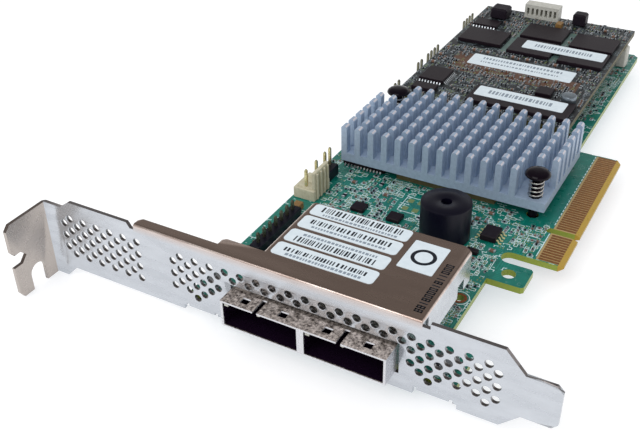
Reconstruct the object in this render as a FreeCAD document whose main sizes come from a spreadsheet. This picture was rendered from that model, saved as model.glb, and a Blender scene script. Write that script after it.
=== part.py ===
import FreeCAD, Part
import math
import os
import Sketcher

# A storage controller card: steel slot bracket with a folded hood, a low
# profile edge-connector board, a pin-fin heatsink on two sprung push pins and
# a memory board carried above the rear of the main board.
# Lengths are mm. The drawing datum is the outer face of the bracket (y = 0),
# the outer end of its screw tab (x = 0) and the component side of the board
# (z = 0). The row's own origin is the key notch on the edge fingers.

doc = FreeCAD.newDocument("storage_card")
sheet = doc.addObject("Spreadsheet::Sheet", "Size")
Vector = FreeCAD.Vector


class Dim:
    """A length that carries its number and the sheet expression behind it."""

    def __init__(self, number, text):
        self.number = number
        self.text = text

    def combine(self, other, sign, flip=False):
        """Join two lengths with an arithmetic sign, in either order."""
        left, right = (as_dim(other), self) if flip else (self, as_dim(other))
        text = f"({left.text} {sign} {right.text})"
        if sign == "+":
            return Dim(left.number + right.number, text)
        if sign == "-":
            return Dim(left.number - right.number, text)
        if sign == "*":
            return Dim(left.number * right.number, text)
        return Dim(left.number / right.number, text)

    def __add__(self, other):
        return self.combine(other, "+")

    def __radd__(self, other):
        return self.combine(other, "+", True)

    def __sub__(self, other):
        return self.combine(other, "-")

    def __rsub__(self, other):
        return self.combine(other, "-", True)

    def __mul__(self, other):
        return self.combine(other, "*")

    def __rmul__(self, other):
        return self.combine(other, "*", True)

    def __truediv__(self, other):
        return self.combine(other, "/")

    def __neg__(self):
        return self * -1


def as_dim(value):
    """Give a plain number the same face as a sheet length."""
    return value if isinstance(value, Dim) else Dim(value, f"{value:.9g}")


SHEET_ROWS = []


def size(name, number):
    """Write one named value into the sheet and hand back its length."""
    row = len(SHEET_ROWS) + 1
    SHEET_ROWS.append(name)
    sheet.set(f"A{row}", name)
    sheet.set(f"B{row}", str(number))
    sheet.setAlias(f"B{row}", name)
    return Dim(number, f"Size.{name}")


def bind(target, field, value):
    """Tie a property of an object to a length."""
    target.setExpression(field, as_dim(value).text)


# ---- values -----------------------------------------------------------------

# where the row's origin lies
finger_edge = size("finger_edge", 106.8)
key_line = size("key_line", 60.35)

# slot bracket: sheet steel
steel = size("steel", 0.86)
bracket_length = size("bracket_length", 120.02)
body_top = size("body_top", 14.8)
body_bottom = size("body_bottom", -3.6)
tab_reach = size("tab_reach", 11.9)
tab_top = size("tab_top", 12.8)
tab_bottom = size("tab_bottom", -6.6)
bend_radius = size("bend_radius", 1.0)
fold_radius = size("fold_radius", 0.7)
screw_slot_wide = size("screw_slot_wide", 4.42)
screw_slot_line = size("screw_slot_line", -5.7)
screw_slot_arch = size("screw_slot_arch", -2.8)
vent_pitch = size("vent_pitch", 3.79)
vent_rise = size("vent_rise", 1.6)
vent_radius = size("vent_radius", 0.98)
vent_left = size("vent_left", 7.8)
vent_top = size("vent_top", 10.25)
window_left = size("window_left", 50.8)
window_right = size("window_right", 88.95)
window_bottom = size("window_bottom", 0.2)
window_top = size("window_top", 7.65)
hood_left = size("hood_left", 26.5)
hood_right = size("hood_right", 93.3)
hood_plate_left = size("hood_plate_left", 56)
hood_depth = size("hood_depth", 25.5)
flange_bottom = size("flange_bottom", 7.6)
board_tab_long = size("board_tab_long", 9)
board_tab_wide = size("board_tab_wide", 6.7)
tab_a_left = size("tab_a_left", 39.3)
tab_b_left = size("tab_b_left", 92.75)
screw_line = size("screw_line", 6.5)
screw_radius = size("screw_radius", 1.25)

# port shell
shell_left = size("shell_left", 51.3)
shell_right = size("shell_right", 88.4)
shell_front = size("shell_front", -4.7)
shell_back = size("shell_back", 20)
shell_bottom = size("shell_bottom", 0.7)
shell_top = size("shell_top", 7.1)
shell_skin = size("shell_skin", 0.4)
port_wide = size("port_wide", 17.2)
port_left_1 = size("port_left_1", 51.9)
port_left_2 = size("port_left_2", 70.7)
port_bottom = size("port_bottom", 1.05)
port_top = size("port_top", 6.7)
insert_front = size("insert_front", 6)

# main board
board_thick = size("board_thick", 1.57)
board_left = size("board_left", 38.4)
board_right = size("board_right", 95)
board_front = size("board_front", 2.35)
board_back = size("board_back", 170)
finger_front = size("finger_front", 47.75)
finger_back = size("finger_back", 99.95)
key_wide = size("key_wide", 1.9)
key_deep = size("key_deep", 8.25)
hook_front = size("hook_front", 36.2)
hook_back = size("hook_back", 43.65)
hook_edge = size("hook_edge", 101.5)
slot_round = size("slot_round", 2.05)
front_edge = size("front_edge", 93.2)
ear_edge = size("ear_edge", 100)
ear_back = size("ear_back", 14.5)
pad_long = size("pad_long", 4.7)
pad_wide = size("pad_wide", 0.7)
pad_film = size("pad_film", 0.05)
pad_inset = size("pad_inset", 1.2)

# heatsink
sink_left = size("sink_left", 43.3)
sink_wide = size("sink_wide", 54.1)
sink_front = size("sink_front", 62.2)
sink_deep = size("sink_deep", 29.8)
sink_base = size("sink_base", 3)
sink_floor = size("sink_floor", 5.4)
sink_crest = size("sink_crest", 13.05)
pin_wide = size("pin_wide", 1.6)
pin_long = size("pin_long", 1.95)
pin_bevel = size("pin_bevel", 0.45)
pin_columns = size("pin_columns", 15)
pin_rows = size("pin_rows", 8)

# memory board
deck_left = size("deck_left", 42.8)
deck_right = size("deck_right", 92.4)
deck_front = size("deck_front", 95.5)
deck_back = size("deck_back", 170)
deck_top = size("deck_top", 8)
chip_high = size("chip_high", 1.05)
label_film = size("label_film", 0.12)

# pin headers
post = size("post", 0.64)
post_top = size("post_top", 8)
doc.recompute()

to_origin = (-finger_edge, -key_line)


# ---- building blocks --------------------------------------------------------


def place(target, x=0, y=0, z=0, home=True):
    """Put an object at x, y, z from the datum, or from the row's origin."""
    shift = to_origin if home else (0, 0)
    bind(target, "Placement.Base.x", as_dim(x) + shift[0])
    bind(target, "Placement.Base.y", as_dim(y) + shift[1])
    bind(target, "Placement.Base.z", z)


def box(label, x, y, z, wide, deep, high, home=True):
    """A block with one corner at x, y, z."""
    block = doc.addObject("Part::Box", label)
    block.Label = label
    bind(block, "Length", wide)
    bind(block, "Width", deep)
    bind(block, "Height", high)
    place(block, x, y, z, home)
    return block


def without(label, base, tool):
    """One piece with another taken out of it, both drawn from the datum."""
    whole = doc.addObject("Part::Cut", label)
    whole.Label = label
    whole.Base, whole.Tool = base, tool
    place(whole)
    return whole


def body(label, home=True):
    """An empty body placed on the row's origin, or left at the datum."""
    whole = doc.addObject("PartDesign::Body", label)
    whole.Label = label
    whole.AllowCompound = True
    if home:
        place(whole)
    return whole


def origin_part(whole, role):
    """One plane or axis of a body's own origin."""
    return next(item for item in whole.Origin.OriginFeatures if item.Role == role)


def sketch(whole, plane, offset=0):
    """A sketch on an origin plane, lifted along that plane's normal."""
    drawing = whole.newObject("Sketcher::SketchObject", "Sketch")
    drawing.AttachmentSupport = (origin_part(whole, plane), [""])
    drawing.MapMode = "FlatFace"
    bind(drawing, "AttachmentOffset.Base.z", offset)
    return drawing


def corner_value(drawing, kind, edge, end, value):
    """Hold one coordinate of a drawn corner at a length."""
    rule = Sketcher.Constraint(kind, -1, 1, edge, end, as_dim(value).number)
    index = drawing.addConstraint(rule)
    bind(drawing, f"Constraints[{index}]", value)


def outline(drawing, corners):
    """Draw a closed loop.

    Each corner is (u, v), or (u, v, centre u, centre v, side) when an arc leads
    on from it to the next corner; side is +1 when the arc turns left.
    """
    first = drawing.GeometryCount
    total = len(corners)
    for spot, corner in enumerate(corners):
        here = [as_dim(value).number for value in corner[:2]]
        ahead = [as_dim(value).number for value in corners[(spot + 1) % total][:2]]
        start, end = Vector(*here, 0), Vector(*ahead, 0)
        if len(corner) == 2:
            drawing.addGeometry(Part.LineSegment(start, end))
            continue
        hub = Vector(as_dim(corner[2]).number, as_dim(corner[3]).number, 0)
        radius = (start - hub).Length
        chord = end - start
        square = Vector(chord.y, -chord.x, 0).normalize() * corner[4]
        middle = hub + square * radius
        drawing.addGeometry(Part.Arc(start, middle, end))
    for spot, corner in enumerate(corners):
        edge = first + spot
        after = first + (spot + 1) % total
        arc = len(corner) > 2
        left_turn = arc and corner[4] > 0
        end_point = 1 if arc and not left_turn else 2
        after_corner = corners[(spot + 1) % total]
        after_start = 2 if len(after_corner) > 2 and after_corner[4] < 0 else 1
        drawing.addConstraint(
            Sketcher.Constraint("Coincident", edge, end_point, after, after_start)
        )
        own_start = 3 - end_point
        corner_value(drawing, "DistanceX", edge, own_start, corner[0])
        corner_value(drawing, "DistanceY", edge, own_start, corner[1])
        if arc:
            wide = abs(as_dim(after_corner[0]).number - as_dim(corner[0]).number)
            high = abs(as_dim(after_corner[1]).number - as_dim(corner[1]).number)
            if high > wide:
                corner_value(drawing, "DistanceX", edge, 3, corner[2])
            else:
                corner_value(drawing, "DistanceY", edge, 3, corner[3])


def rectangle(x, y, wide, high):
    """Corners of an upright rectangle."""
    return [(x, y), (x + wide, y), (x + wide, y + high), (x, y + high)]


def polygon(x, y, radius, sides, turn=0.0):
    """Corners of a regular polygon around x, y."""
    angles = [math.radians(turn + 360.0 * step / sides) for step in range(sides)]
    return [
        (x + radius * round(math.cos(a), 6), y + radius * round(math.sin(a), 6))
        for a in angles
    ]


def pad(whole, plane, offset, loops, length, back=False):
    """Add material: loops drawn on a plane and carried along its normal."""
    drawing = sketch(whole, plane, offset)
    for loop in loops:
        outline(drawing, loop)
    feature = whole.newObject("PartDesign::Pad", "Pad")
    feature.Profile = drawing
    feature.Reversed = back
    bind(feature, "Length", length)
    return feature


def cut(whole, plane, offset, loops, length=None, back=False):
    """Take material away, right through in both directions without a length."""
    doc.recompute()
    before = whole.Shape.Volume
    drawing = sketch(whole, plane, offset)
    for loop in loops:
        outline(drawing, loop)
    feature = whole.newObject("PartDesign::Pocket", "Pocket")
    feature.Profile = drawing
    if length is None:
        feature.Type = 1
        feature.Midplane = True
    else:
        feature.Reversed = back
        bind(feature, "Length", length)
    doc.recompute()
    if feature.Shape.Volume > before - 1e-6:
        raise RuntimeError(f"{whole.Label}: a pocket took nothing away")
    return feature


def repeat(whole, feature, first, second=None):
    """Repeat a feature along one or two axes: (axis, pitch, count, reversed)."""
    pattern = whole.newObject("PartDesign::LinearPattern", "Repeat")
    pattern.Originals = [feature]
    axis, pitch, count, flipped = first
    pattern.Direction = (origin_part(whole, axis), [""])
    pattern.Reversed = flipped
    pattern.Occurrences = count
    bind(pattern, "Length", as_dim(pitch) * (count - 1))
    if second:
        axis, pitch, count, flipped = second
        pattern.Direction2 = (origin_part(whole, axis), [""])
        pattern.Reversed2 = flipped
        pattern.Occurrences2 = count
        bind(pattern, "Length2", as_dim(pitch) * (count - 1))
    whole.Tip = pattern
    return pattern


def round_edges(whole, radius, spots):
    """Round the edges whose middle lies nearest to each spot."""
    doc.recompute()
    last = whole.Tip
    names = []
    for spot in spots:
        target = Vector(*[as_dim(value).number for value in spot])
        gaps = [
            (edge.CenterOfMass - target).Length for edge in last.Shape.Edges
        ]
        names.append(f"Edge{gaps.index(min(gaps)) + 1}")
    feature = whole.newObject("PartDesign::Fillet", "Round")
    feature.Base = (last, names)
    bind(feature, "Radius", radius)
    return feature


def blocks(label, z, high, spots):
    """Several blocks of one height as one group: each (x, y, wide, deep)."""
    whole = body(label)
    pad(whole, "XY_Plane", z, [rectangle(*spot) for spot in spots], high)
    return whole


# ---- slot bracket -----------------------------------------------------------


def bracket():
    """Face plate, screw tab, port hood and two board tabs folded from one sheet."""
    whole = body("bracket_blank", False)
    face = [
        (0, tab_bottom), (4, tab_bottom), (7.1, body_bottom),
        (38, body_bottom), (38, -2.43), (38.6, -2.43), (38.6, -1.8), (tab_a_left, -1.8),
        (tab_a_left, -2.43), (tab_a_left + board_tab_wide, -2.43),
        (tab_a_left + board_tab_wide, -1.8), (46.8, -1.8), (46.8, -2.43), (47.6, -2.43),
        (47.6, body_bottom), (92, body_bottom), (92, -1.8), (tab_b_left, -1.8),
        (tab_b_left, -2.43), (tab_b_left + board_tab_wide, -2.43),
        (tab_b_left + board_tab_wide, -1.8), (100.2, -1.8), (100.2, -2.5), (101, -2.5),
        (101, body_bottom), (109.3, body_bottom), (113.16, 0.3),
        (bracket_length - 1.2, 0.3), (bracket_length, 1.5), (bracket_length, 9.1),
        (bracket_length - 1.2, 10.3), (113.16, 10.3), (109.1, body_top),
        (94.9, body_top), (94.9, 13.6), (hood_right, 13.6), (hood_right, body_top),
        (hood_left, body_top), (hood_left, 13.5), (25.5, 13.5), (24.7, body_top),
        (8.3, body_top), (5.6, tab_top), (0, tab_top),
    ]
    pad(whole, "XZ_Plane", 0, [face], steel, True)
    # screw tab, folded forward along the card's upper end
    high = tab_top - tab_bottom
    pad(whole, "XZ_Plane", 0, [rectangle(0, tab_bottom, steel, high)], tab_reach)
    round_edges(whole, bend_radius, [(0, steel, (tab_top + tab_bottom) / 2)])
    side_slot = [
        (-tab_reach - 1, 1.8), (-9.4, 1.8), (-7.9, 3.35), (-9.4, 4.9),
        (-11.2, 4.9), (-tab_reach, 6), (-tab_reach - 1, 6),
    ]
    half = screw_slot_wide / 2
    hub = (screw_slot_line, screw_slot_arch)
    screw_slot = [
        (screw_slot_line - half, tab_bottom - 1), (screw_slot_line + half, tab_bottom - 1),
        (screw_slot_line + half, screw_slot_arch, *hub, 1),
        (screw_slot_line - half, screw_slot_arch),
    ]
    corners = [
        [(-tab_reach - 1, tab_top - 1.3), (-tab_reach, tab_top - 1.3),
         (-tab_reach + 1.3, tab_top), (-tab_reach + 1.3, tab_top + 1),
         (-tab_reach - 1, tab_top + 1)],
        [(-tab_reach - 1, tab_bottom - 1), (-tab_reach + 1, tab_bottom - 1),
         (-tab_reach + 1, tab_bottom), (-tab_reach, tab_bottom + 1.6),
         (-tab_reach - 1, tab_bottom + 1.6)],
    ]
    cut(whole, "YZ_Plane", -1, [side_slot], steel + 2, True)
    cut(whole, "YZ_Plane", -1, [screw_slot], steel + 2, True)
    cut(whole, "YZ_Plane", -1, corners, steel + 2, True)
    # hood over the ports
    hood = [
        (hood_left, 0), (hood_right, 0), (hood_right, hood_depth - 1.2),
        (hood_right - 1.8, hood_depth), (hood_plate_left + 0.8, hood_depth),
        (hood_plate_left, hood_depth - 0.8), (hood_plate_left, 5), (47.2, 5),
        (46.5, 4.3), (46.5, 2.7), (27.3, 2.7), (hood_left, 1.9),
    ]
    pad(whole, "XY_Plane", body_top - steel, [hood], steel)
    hood_high = body_top - flange_bottom
    for x, front, back in ((hood_plate_left, 5, hood_depth - 0.8),
                           (hood_right - steel, 3, hood_depth - 1.2)):
        pad(whole, "XY_Plane", flange_bottom,
            [rectangle(x, front, steel, back - front)], hood_high)
    cut(whole, "YZ_Plane", hood_right + 1,
        [rectangle(17.6, flange_bottom - 1, 3.2, 3.8)], steel + 2)
    middle = (hood_left + hood_right) / 2
    round_edges(whole, fold_radius, [
        (middle, 0, body_top), (hood_right, (hood_depth - 1.2) / 2, body_top),
        (hood_plate_left, (5 + hood_depth - 0.8) / 2, body_top),
    ])
    # two tabs folded in under the board, each with a screw hole
    for left in (tab_a_left, tab_b_left):
        tab = [
            (left, 0), (left + board_tab_wide, 0),
            (left + board_tab_wide, board_tab_long - 1),
            (left + board_tab_wide - 1, board_tab_long), (left + 1, board_tab_long),
            (left, board_tab_long - 1),
        ]
        pad(whole, "XY_Plane", -2.43, [tab], steel)
        hole = polygon(left + board_tab_wide / 2, screw_line, screw_radius, 8)
        cut(whole, "XY_Plane", -3, [hole], 2, True)
    window = rectangle(window_left, window_bottom, window_right - window_left,
                       window_top - window_bottom)
    cut(whole, "XZ_Plane", 1, [window], steel + 1.2)
    without("slot_bracket", whole, vents())


def vents():
    """Staggered hexagonal vents: (first column, columns, first row, rows by twos)."""
    tool = body("vent_tool", False)
    for column, columns, row, rows in (
        (0, 6, 0, 4), (0, 6, 1, 3), (8, 3, 0, 3), (9, 1, 6, 1), (8, 4, 1, 2),
        (8, 3, 5, 1), (11, 11, 0, 1), (12, 11, 1, 1), (22, 5, 0, 3),
        (23, 1, 6, 1), (26, 1, 6, 1), (23, 5, 1, 3),
    ):
        across = column - 0.5 * (row % 2)
        spot = polygon(vent_left + vent_pitch * across, vent_top - vent_rise * row,
                       vent_radius, 6, 30)
        vent = pad(tool, "XZ_Plane", 1, [spot], steel + 2, True)
        if columns > 1:
            repeat(tool, vent, ("X_Axis", vent_pitch, columns, False),
                   ("Z_Axis", vent_rise * 2, rows, True) if rows > 1 else None)
    return tool


def bracket_screws():
    """Two pan-head screws that hold the board to the bracket's tabs."""
    whole = body("bracket_screws")
    spots = [(left + board_tab_wide / 2, screw_line) for left in (tab_a_left, tab_b_left)]
    pad(whole, "XY_Plane", -3.2, [polygon(x, y, screw_radius - 0.05, 8) for x, y in spots], 3.2)
    pad(whole, "XY_Plane", 0, [polygon(x, y, 2.7, 10) for x, y in spots], 1.3)
    pad(whole, "XY_Plane", 1.3, [polygon(x, y, 2.1, 10) for x, y in spots], 0.6)


# ---- ports ------------------------------------------------------------------


def ports():
    """A twin cage of thin sheet with a dark plastic insert in each bay."""
    whole = body("port_shell")
    wide = shell_right - shell_left
    deep = shell_back - shell_front
    pad(whole, "XY_Plane", shell_bottom,
        [rectangle(shell_left, shell_front, wide, deep)], shell_top - shell_bottom)
    bays = [rectangle(left, port_bottom, port_wide, port_top - port_bottom)
            for left in (port_left_1, port_left_2)]
    cut(whole, "XZ_Plane", -shell_front + 1, bays, deep - shell_skin + 1)
    holes = []
    for left in (port_left_1, port_left_2):
        centre = left + port_wide / 2
        for side in (-4.45, 4.45):
            holes.append(rectangle(centre + side - 0.9, -3.35, 1.8, 1.7))
        holes.append(rectangle(centre - 1.45, shell_front - 1, 1, 5.2))
    cut(whole, "XY_Plane", shell_top + 1, holes, 1.8)
    feet = [rectangle(x, y, 1.2, 1.2)
            for x in (shell_left, 69.3, shell_right - 1.2) for y in (4, 18.6)]
    pad(whole, "XY_Plane", 0, feet, shell_bottom)
    whole.Tip = whole.Group[-1]
    for label, left in (("port_insert_left", port_left_1),
                        ("port_insert_right", port_left_2)):
        insert = body(label)
        high = port_top - port_bottom
        pad(insert, "XZ_Plane", -(shell_back - shell_skin),
            [rectangle(left, port_bottom, port_wide, high)], 5)
        pad(insert, "XZ_Plane", -(shell_back - shell_skin),
            [rectangle(left + 1, 1.7, port_wide - 2, 4.4)],
            shell_back - shell_skin - insert_front)
        cut(insert, "XZ_Plane", -insert_front + 1,
            [rectangle(left + 2.2, 3.3, port_wide - 4.4, 1.2)], 9)


def hood_labels():
    """Four long paper strips and one square label stuck on the hood."""
    blocks("hood_labels", body_top, label_film, [
        (57.3, 5.2, 23, 4.3), (57.3, 10.3, 23, 4.5), (57.3, 15.8, 23, 4.6),
        (57.3, 21, 23, 4.2), (81.8, 13, 7.6, 9.8),
    ])


# ---- main board -------------------------------------------------------------


def main_board():
    """The printed board with its keyed finger edge and its retaining hook."""
    whole = body("main_board")
    hub_x = front_edge + slot_round
    hub_y = (hook_back + finger_front) / 2
    edge = [
        (board_left, board_front), (ear_edge, board_front), (ear_edge, ear_back),
        (front_edge, ear_back), (front_edge, hook_front), (hook_edge - 0.6, hook_front),
        (hook_edge, hook_front + 0.6), (hook_edge, hook_back - 0.6),
        (hook_edge - 0.6, hook_back),
        (hub_x, hook_back, hub_x, hub_y, -1), (hub_x, finger_front),
        (finger_edge - 1, finger_front), (finger_edge, finger_front + 1),
        (finger_edge, finger_back - 1), (finger_edge - 1, finger_back),
        (board_right, finger_back), (board_right, board_back - 1.5),
        (board_right - 1.5, board_back), (board_left, board_back),
    ]
    pad(whole, "XY_Plane", -board_thick, [edge], board_thick)
    # both faces slope together at the finger edge
    slope = [
        (finger_edge - pad_inset, 1), (finger_edge - pad_inset, 0),
        (finger_edge, -0.42), (finger_edge + 1, -0.42), (finger_edge + 1, 1),
    ]
    under = [(x, -board_thick - z) for x, z in slope][::-1]
    for loop in (slope, under):
        cut(whole, "XZ_Plane", -finger_front + 1, [loop],
            finger_back - finger_front + 2)
    half = key_wide / 2
    inner = finger_edge - key_deep + half
    key = [
        (finger_edge + 1, key_line + half),
        (inner, key_line + half, inner, key_line, 1), (inner, key_line - half),
        (finger_edge + 1, key_line - half),
    ]
    cut(whole, "XY_Plane", 0, [key])
    round_holes = [
        polygon(96.95, 39.85, 1.65, 14), polygon(90.5, 27, 1.1, 12),
        *[polygon(x, y, 1.6, 8) for x, y in push_spots],
    ]
    for left in (tab_a_left, tab_b_left):
        round_holes.append(polygon(left + board_tab_wide / 2, screw_line, 1.6, 8))
    cut(whole, "XY_Plane", 0, round_holes)


def edge_contacts():
    """Plated fingers: eleven before the key and thirty-eight after."""
    whole = body("edge_contacts")
    left = finger_edge - pad_inset - pad_long
    for start, count in ((48.575, 11), (62.125, 38)):
        strip = pad(whole, "XY_Plane", 0,
                    [rectangle(left, start - pad_wide / 2, pad_long, pad_wide)],
                    pad_film)
        repeat(whole, strip, ("Y_Axis", 1, count, False))


def main_board_parts():
    """Chips, buzzer and headers along the main board."""
    box("controller_package", 58, 64.8, 0, 26.4, 26.4, 1.2)
    box("controller_die", 64.7, 71.5, 1.2, 13, 13, 0.9)
    box("thermal_pad", 63.7, 70.5, 2.1, 15, 15, sink_base - 2.1)
    box("flash_chip", 42.2, 65, 0.1, 12.2, 18.4, 1.1)
    box("boot_chip", 86.5, 48.9, 0.1, 4, 5.3, 1.5)
    box("regulator_left", 54.2, 45.9, 0, 3.6, 3.6, 1)
    box("regulator_right", 63.8, 45.9, 0, 3.6, 3.6, 1)
    box("small_transistor", 85.6, 42.6, 0, 2.9, 1.6, 1.1)
    drum = body("buzzer")
    pad(drum, "XY_Plane", 0, [polygon(78.7, 47, 5.95, 20)], 9.5)
    cut(drum, "XY_Plane", 10, [polygon(78.7, 47, 1.3, 10)], 6)
    lead_rows("flash_leads", 0.6, [(42.95, 64.1, 0.4, 0.9)],
              ("X_Axis", 0.93, 12))
    lead_rows("boot_leads", 0.85, [(85.3, 49.4, 1.2, 0.45), (90.5, 49.4, 1.2, 0.45)],
              ("Y_Axis", 1.27, 4))
    fan = body("fan_header")
    pad(fan, "XY_Plane", 0, [rectangle(38.9, 45, 6, 8)], 3)
    pad(fan, "XY_Plane", 3, [rectangle(43.9, 45.5, 1, 7)], 5)
    posts("fan_header_pins", 3, [(41.9, 46.4), (41.9, 51.5)], 5)
    box("sensor_header", 40.3, 54.6, 0, 3.4, 5.4, 3)
    posts("sensor_header_pins", 3, [(41.8, 56.1), (41.8, 58.7)], 5)
    box("led_header", 42.3, 19.5, 0, 2.8, 19, 2.5)
    led = body("led_header_pins")
    half = post / 2
    for loop, z, high in (
        (rectangle(43.7 - half, 20.7 + 0.3, post, post), 2.5, 2.7),
        (rectangle(40.4, 20.7 + 0.3, 1.9, post), 0, 0.5),
    ):
        pin = pad(led, "XY_Plane", z, [loop], high)
        repeat(led, pin, ("Y_Axis", 2.54, 7, False))
    rows = ((99.1, 2), (115.4, 2), (122.8, 4), (152.4, 4))
    blocks("edge_header", 0, 2.5, [(39.3, y, 2.5, 2.54 * count) for y, count in rows])
    spots = [(40.55, y + 1.27 + 2.54 * step) for y, count in rows for step in range(count)]
    posts("edge_header_pins", 2.5, spots, post_top - 2.5)


def posts(label, z, spots, high):
    """Square header pins standing at the given spots."""
    half = post / 2
    blocks(label, z, high, [(x - half, y - half, post, post) for x, y in spots])


def lead_rows(label, high, firsts, step, z=0):
    """Rows of solder leads: each first lead repeated along one axis."""
    whole = body(label)
    axis, pitch, count = step
    for first in firsts:
        lead = pad(whole, "XY_Plane", z, [rectangle(*first)], high)
        repeat(whole, lead, (axis, pitch, count, False))
    return whole


def passives():
    """Resistors and capacitors that stand out on both boards."""
    brown = [
        (47.5, 22), (47.5, 26.4), (50.5, 30.2), (54.2, 24.6), (58.6, 28.4), (62.4, 24.2),
        (67.2, 30.8), (72.6, 26), (77, 31.5), (82.4, 25.4), (86, 33.4), (49.4, 41.5),
        (60.2, 40.2), (68.4, 42.6), (58.4, 55.6), (73.6, 57.2), (82.4, 56.4), (90, 45.6),
        (48.6, 57.4), (84.5, 60),
    ]
    dark = [
        (51.6, 35.8), (56.4, 33.6), (61.4, 35.2), (66, 37.4), (71.4, 35.4), (80.6, 37.2),
        (49.6, 50.4), (60.6, 48), (70.2, 49.6), (55.6, 59.4), (62.4, 60.2), (78.6, 59.4),
    ]
    blocks("board_passives_brown", 0, 0.6, [(x, y, 1.6, 0.85) for x, y in brown])
    blocks("board_passives_dark", 0, 0.45, [(x, y, 0.9, 1.6) for x, y in dark])
    box("tantalum_main", 41.6, 39.2, 0, 2.4, 2.6, 1.9)
    upper_brown = [
        (51.5, 132.2), (56, 132.2), (64, 132.2), (68.5, 132.2), (77, 132.2), (84, 132.2),
        (43.6, 118.5), (43.6, 124.6), (43.6, 130.7), (86.8, 161.4), (83.4, 164.8),
        (60, 120.6), (71.2, 119.2), (80.6, 121.4),
    ]
    upper_dark = [
        (46.4, 120.4), (46.4, 127.4), (88.2, 120.6), (88.2, 128.6), (59.5, 114),
        (72.6, 113.2), (80.4, 160.4), (90, 165.2),
    ]
    blocks("memory_passives_brown", deck_top, 0.6, [(x, y, 1.6, 0.85) for x, y in upper_brown])
    blocks("memory_passives_dark", deck_top, 0.45, [(x, y, 0.9, 1.6) for x, y in upper_dark])


# ---- heatsink ---------------------------------------------------------------

push_spots = ((46.6, 89.4), (94.1, 64.9))


def heatsink():
    """A flat base carrying rows of bevel-topped square pins."""
    whole = body("heatsink")
    pad(whole, "XY_Plane", sink_base, [rectangle(sink_left, sink_front, sink_wide, sink_deep)],
        sink_floor - sink_base)
    right = sink_left + pin_wide
    profile = [
        (sink_left, sink_floor), (right, sink_floor), (right, sink_crest - pin_bevel),
        (right - pin_bevel, sink_crest), (sink_left + pin_bevel, sink_crest),
        (sink_left, sink_crest - pin_bevel),
    ]
    pin = pad(whole, "XZ_Plane", -sink_front, [profile], pin_long, True)
    columns = int(pin_columns.number)
    rows = int(pin_rows.number)
    across = (sink_wide - pin_wide) / (pin_columns - 1)
    along = (sink_deep - pin_long) / (pin_rows - 1)
    repeat(whole, pin, ("X_Axis", across, columns, False), ("Y_Axis", along, rows, False))
    # two corners are left free for the push pins
    room_x = across * 2 - 0.1
    room_y = along * 2 - 0.1
    rooms = [
        rectangle(sink_left + sink_wide - room_x, sink_front - 1, room_x + 1, room_y + 1),
        rectangle(sink_left - 1, sink_front + sink_deep - room_y, room_x + 1, room_y + 1),
    ]
    cut(whole, "XY_Plane", sink_crest + 1, rooms, sink_crest + 1 - sink_floor)
    holes = [polygon(x, y, 1.6, 8) for x, y in push_spots]
    cut(whole, "XY_Plane", sink_floor + 1, holes, sink_floor - sink_base + 2)


def push_pins():
    """Two plastic push pins: barbed tip, shaft, collar and domed head."""
    whole = body("push_pins")
    for z, high, radius, sides in (
        (-4.4, 1.3, 1.1, 6), (-3.1, 1.5, 1.9, 6), (-1.6, 12, 1.15, 6),
        (10.4, 0.8, 2.2, 10), (11.2, 0.8, 3.08, 12), (12, 0.5, 2.3, 12),
    ):
        pad(whole, "XY_Plane", z, [polygon(x, y, radius, sides) for x, y in push_spots], high)


def spring_shape(x, y):
    """A coil of square wire wound between the heatsink base and a pin head."""
    turns, steps = 4.5, 7
    wire, coil = 0.5, 1.85
    low, high = sink_floor.number, 10.4
    total = round(turns * steps)
    rings = []
    for step in range(total + 1):
        angle = 2 * math.pi * step / steps
        rise = low + (high - low - wire) * step / total
        ring = []
        for radius, lift in ((coil - wire, 0), (coil, 0), (coil, wire), (coil - wire, wire)):
            ring.append(Vector(x + radius * math.cos(angle), y + radius * math.sin(angle),
                               rise + lift))
        rings.append(ring)
    faces = []

    def triangle(one, two, three):
        faces.append(Part.Face(Part.makePolygon([one, two, three, one])))

    for before, after in zip(rings, rings[1:]):
        for corner in range(4):
            ahead = (corner + 1) % 4
            triangle(before[corner], before[ahead], after[ahead])
            triangle(before[corner], after[ahead], after[corner])
    for ring in (rings[0], rings[-1]):
        triangle(ring[0], ring[1], ring[2])
        triangle(ring[0], ring[2], ring[3])
    solid = Part.makeSolid(Part.makeShell(faces))
    if solid.Volume < 0:
        solid.reverse()
    return solid


def push_pin_springs():
    """The coil springs that press the heatsink down."""
    springs = doc.addObject("Part::Feature", "push_pin_springs")
    springs.Label = "push_pin_springs"
    springs.Shape = Part.makeCompound([spring_shape(x, y) for x, y in push_spots])
    place(springs)


# ---- memory board -----------------------------------------------------------


def memory_board():
    """The upper board, its spacers and the connector pair that joins the boards."""
    box("memory_board", deck_left, deck_front, deck_top - board_thick,
        deck_right - deck_left, deck_back - deck_front, board_thick)
    under = deck_top - board_thick
    box("rear_spacer", 89.5, 157.5, 0, 4.3, 5, under)
    spacers = body("front_spacers")
    pad(spacers, "XY_Plane", 0, [polygon(x, 99, 2.4, 6) for x in (47, 88)], under)
    box("board_socket", 50, 112, 0, 34, 6, 4.2)
    box("board_plug", 50.6, 112.6, 4.2, 32.8, 4.8, under - 4.2)


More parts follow.
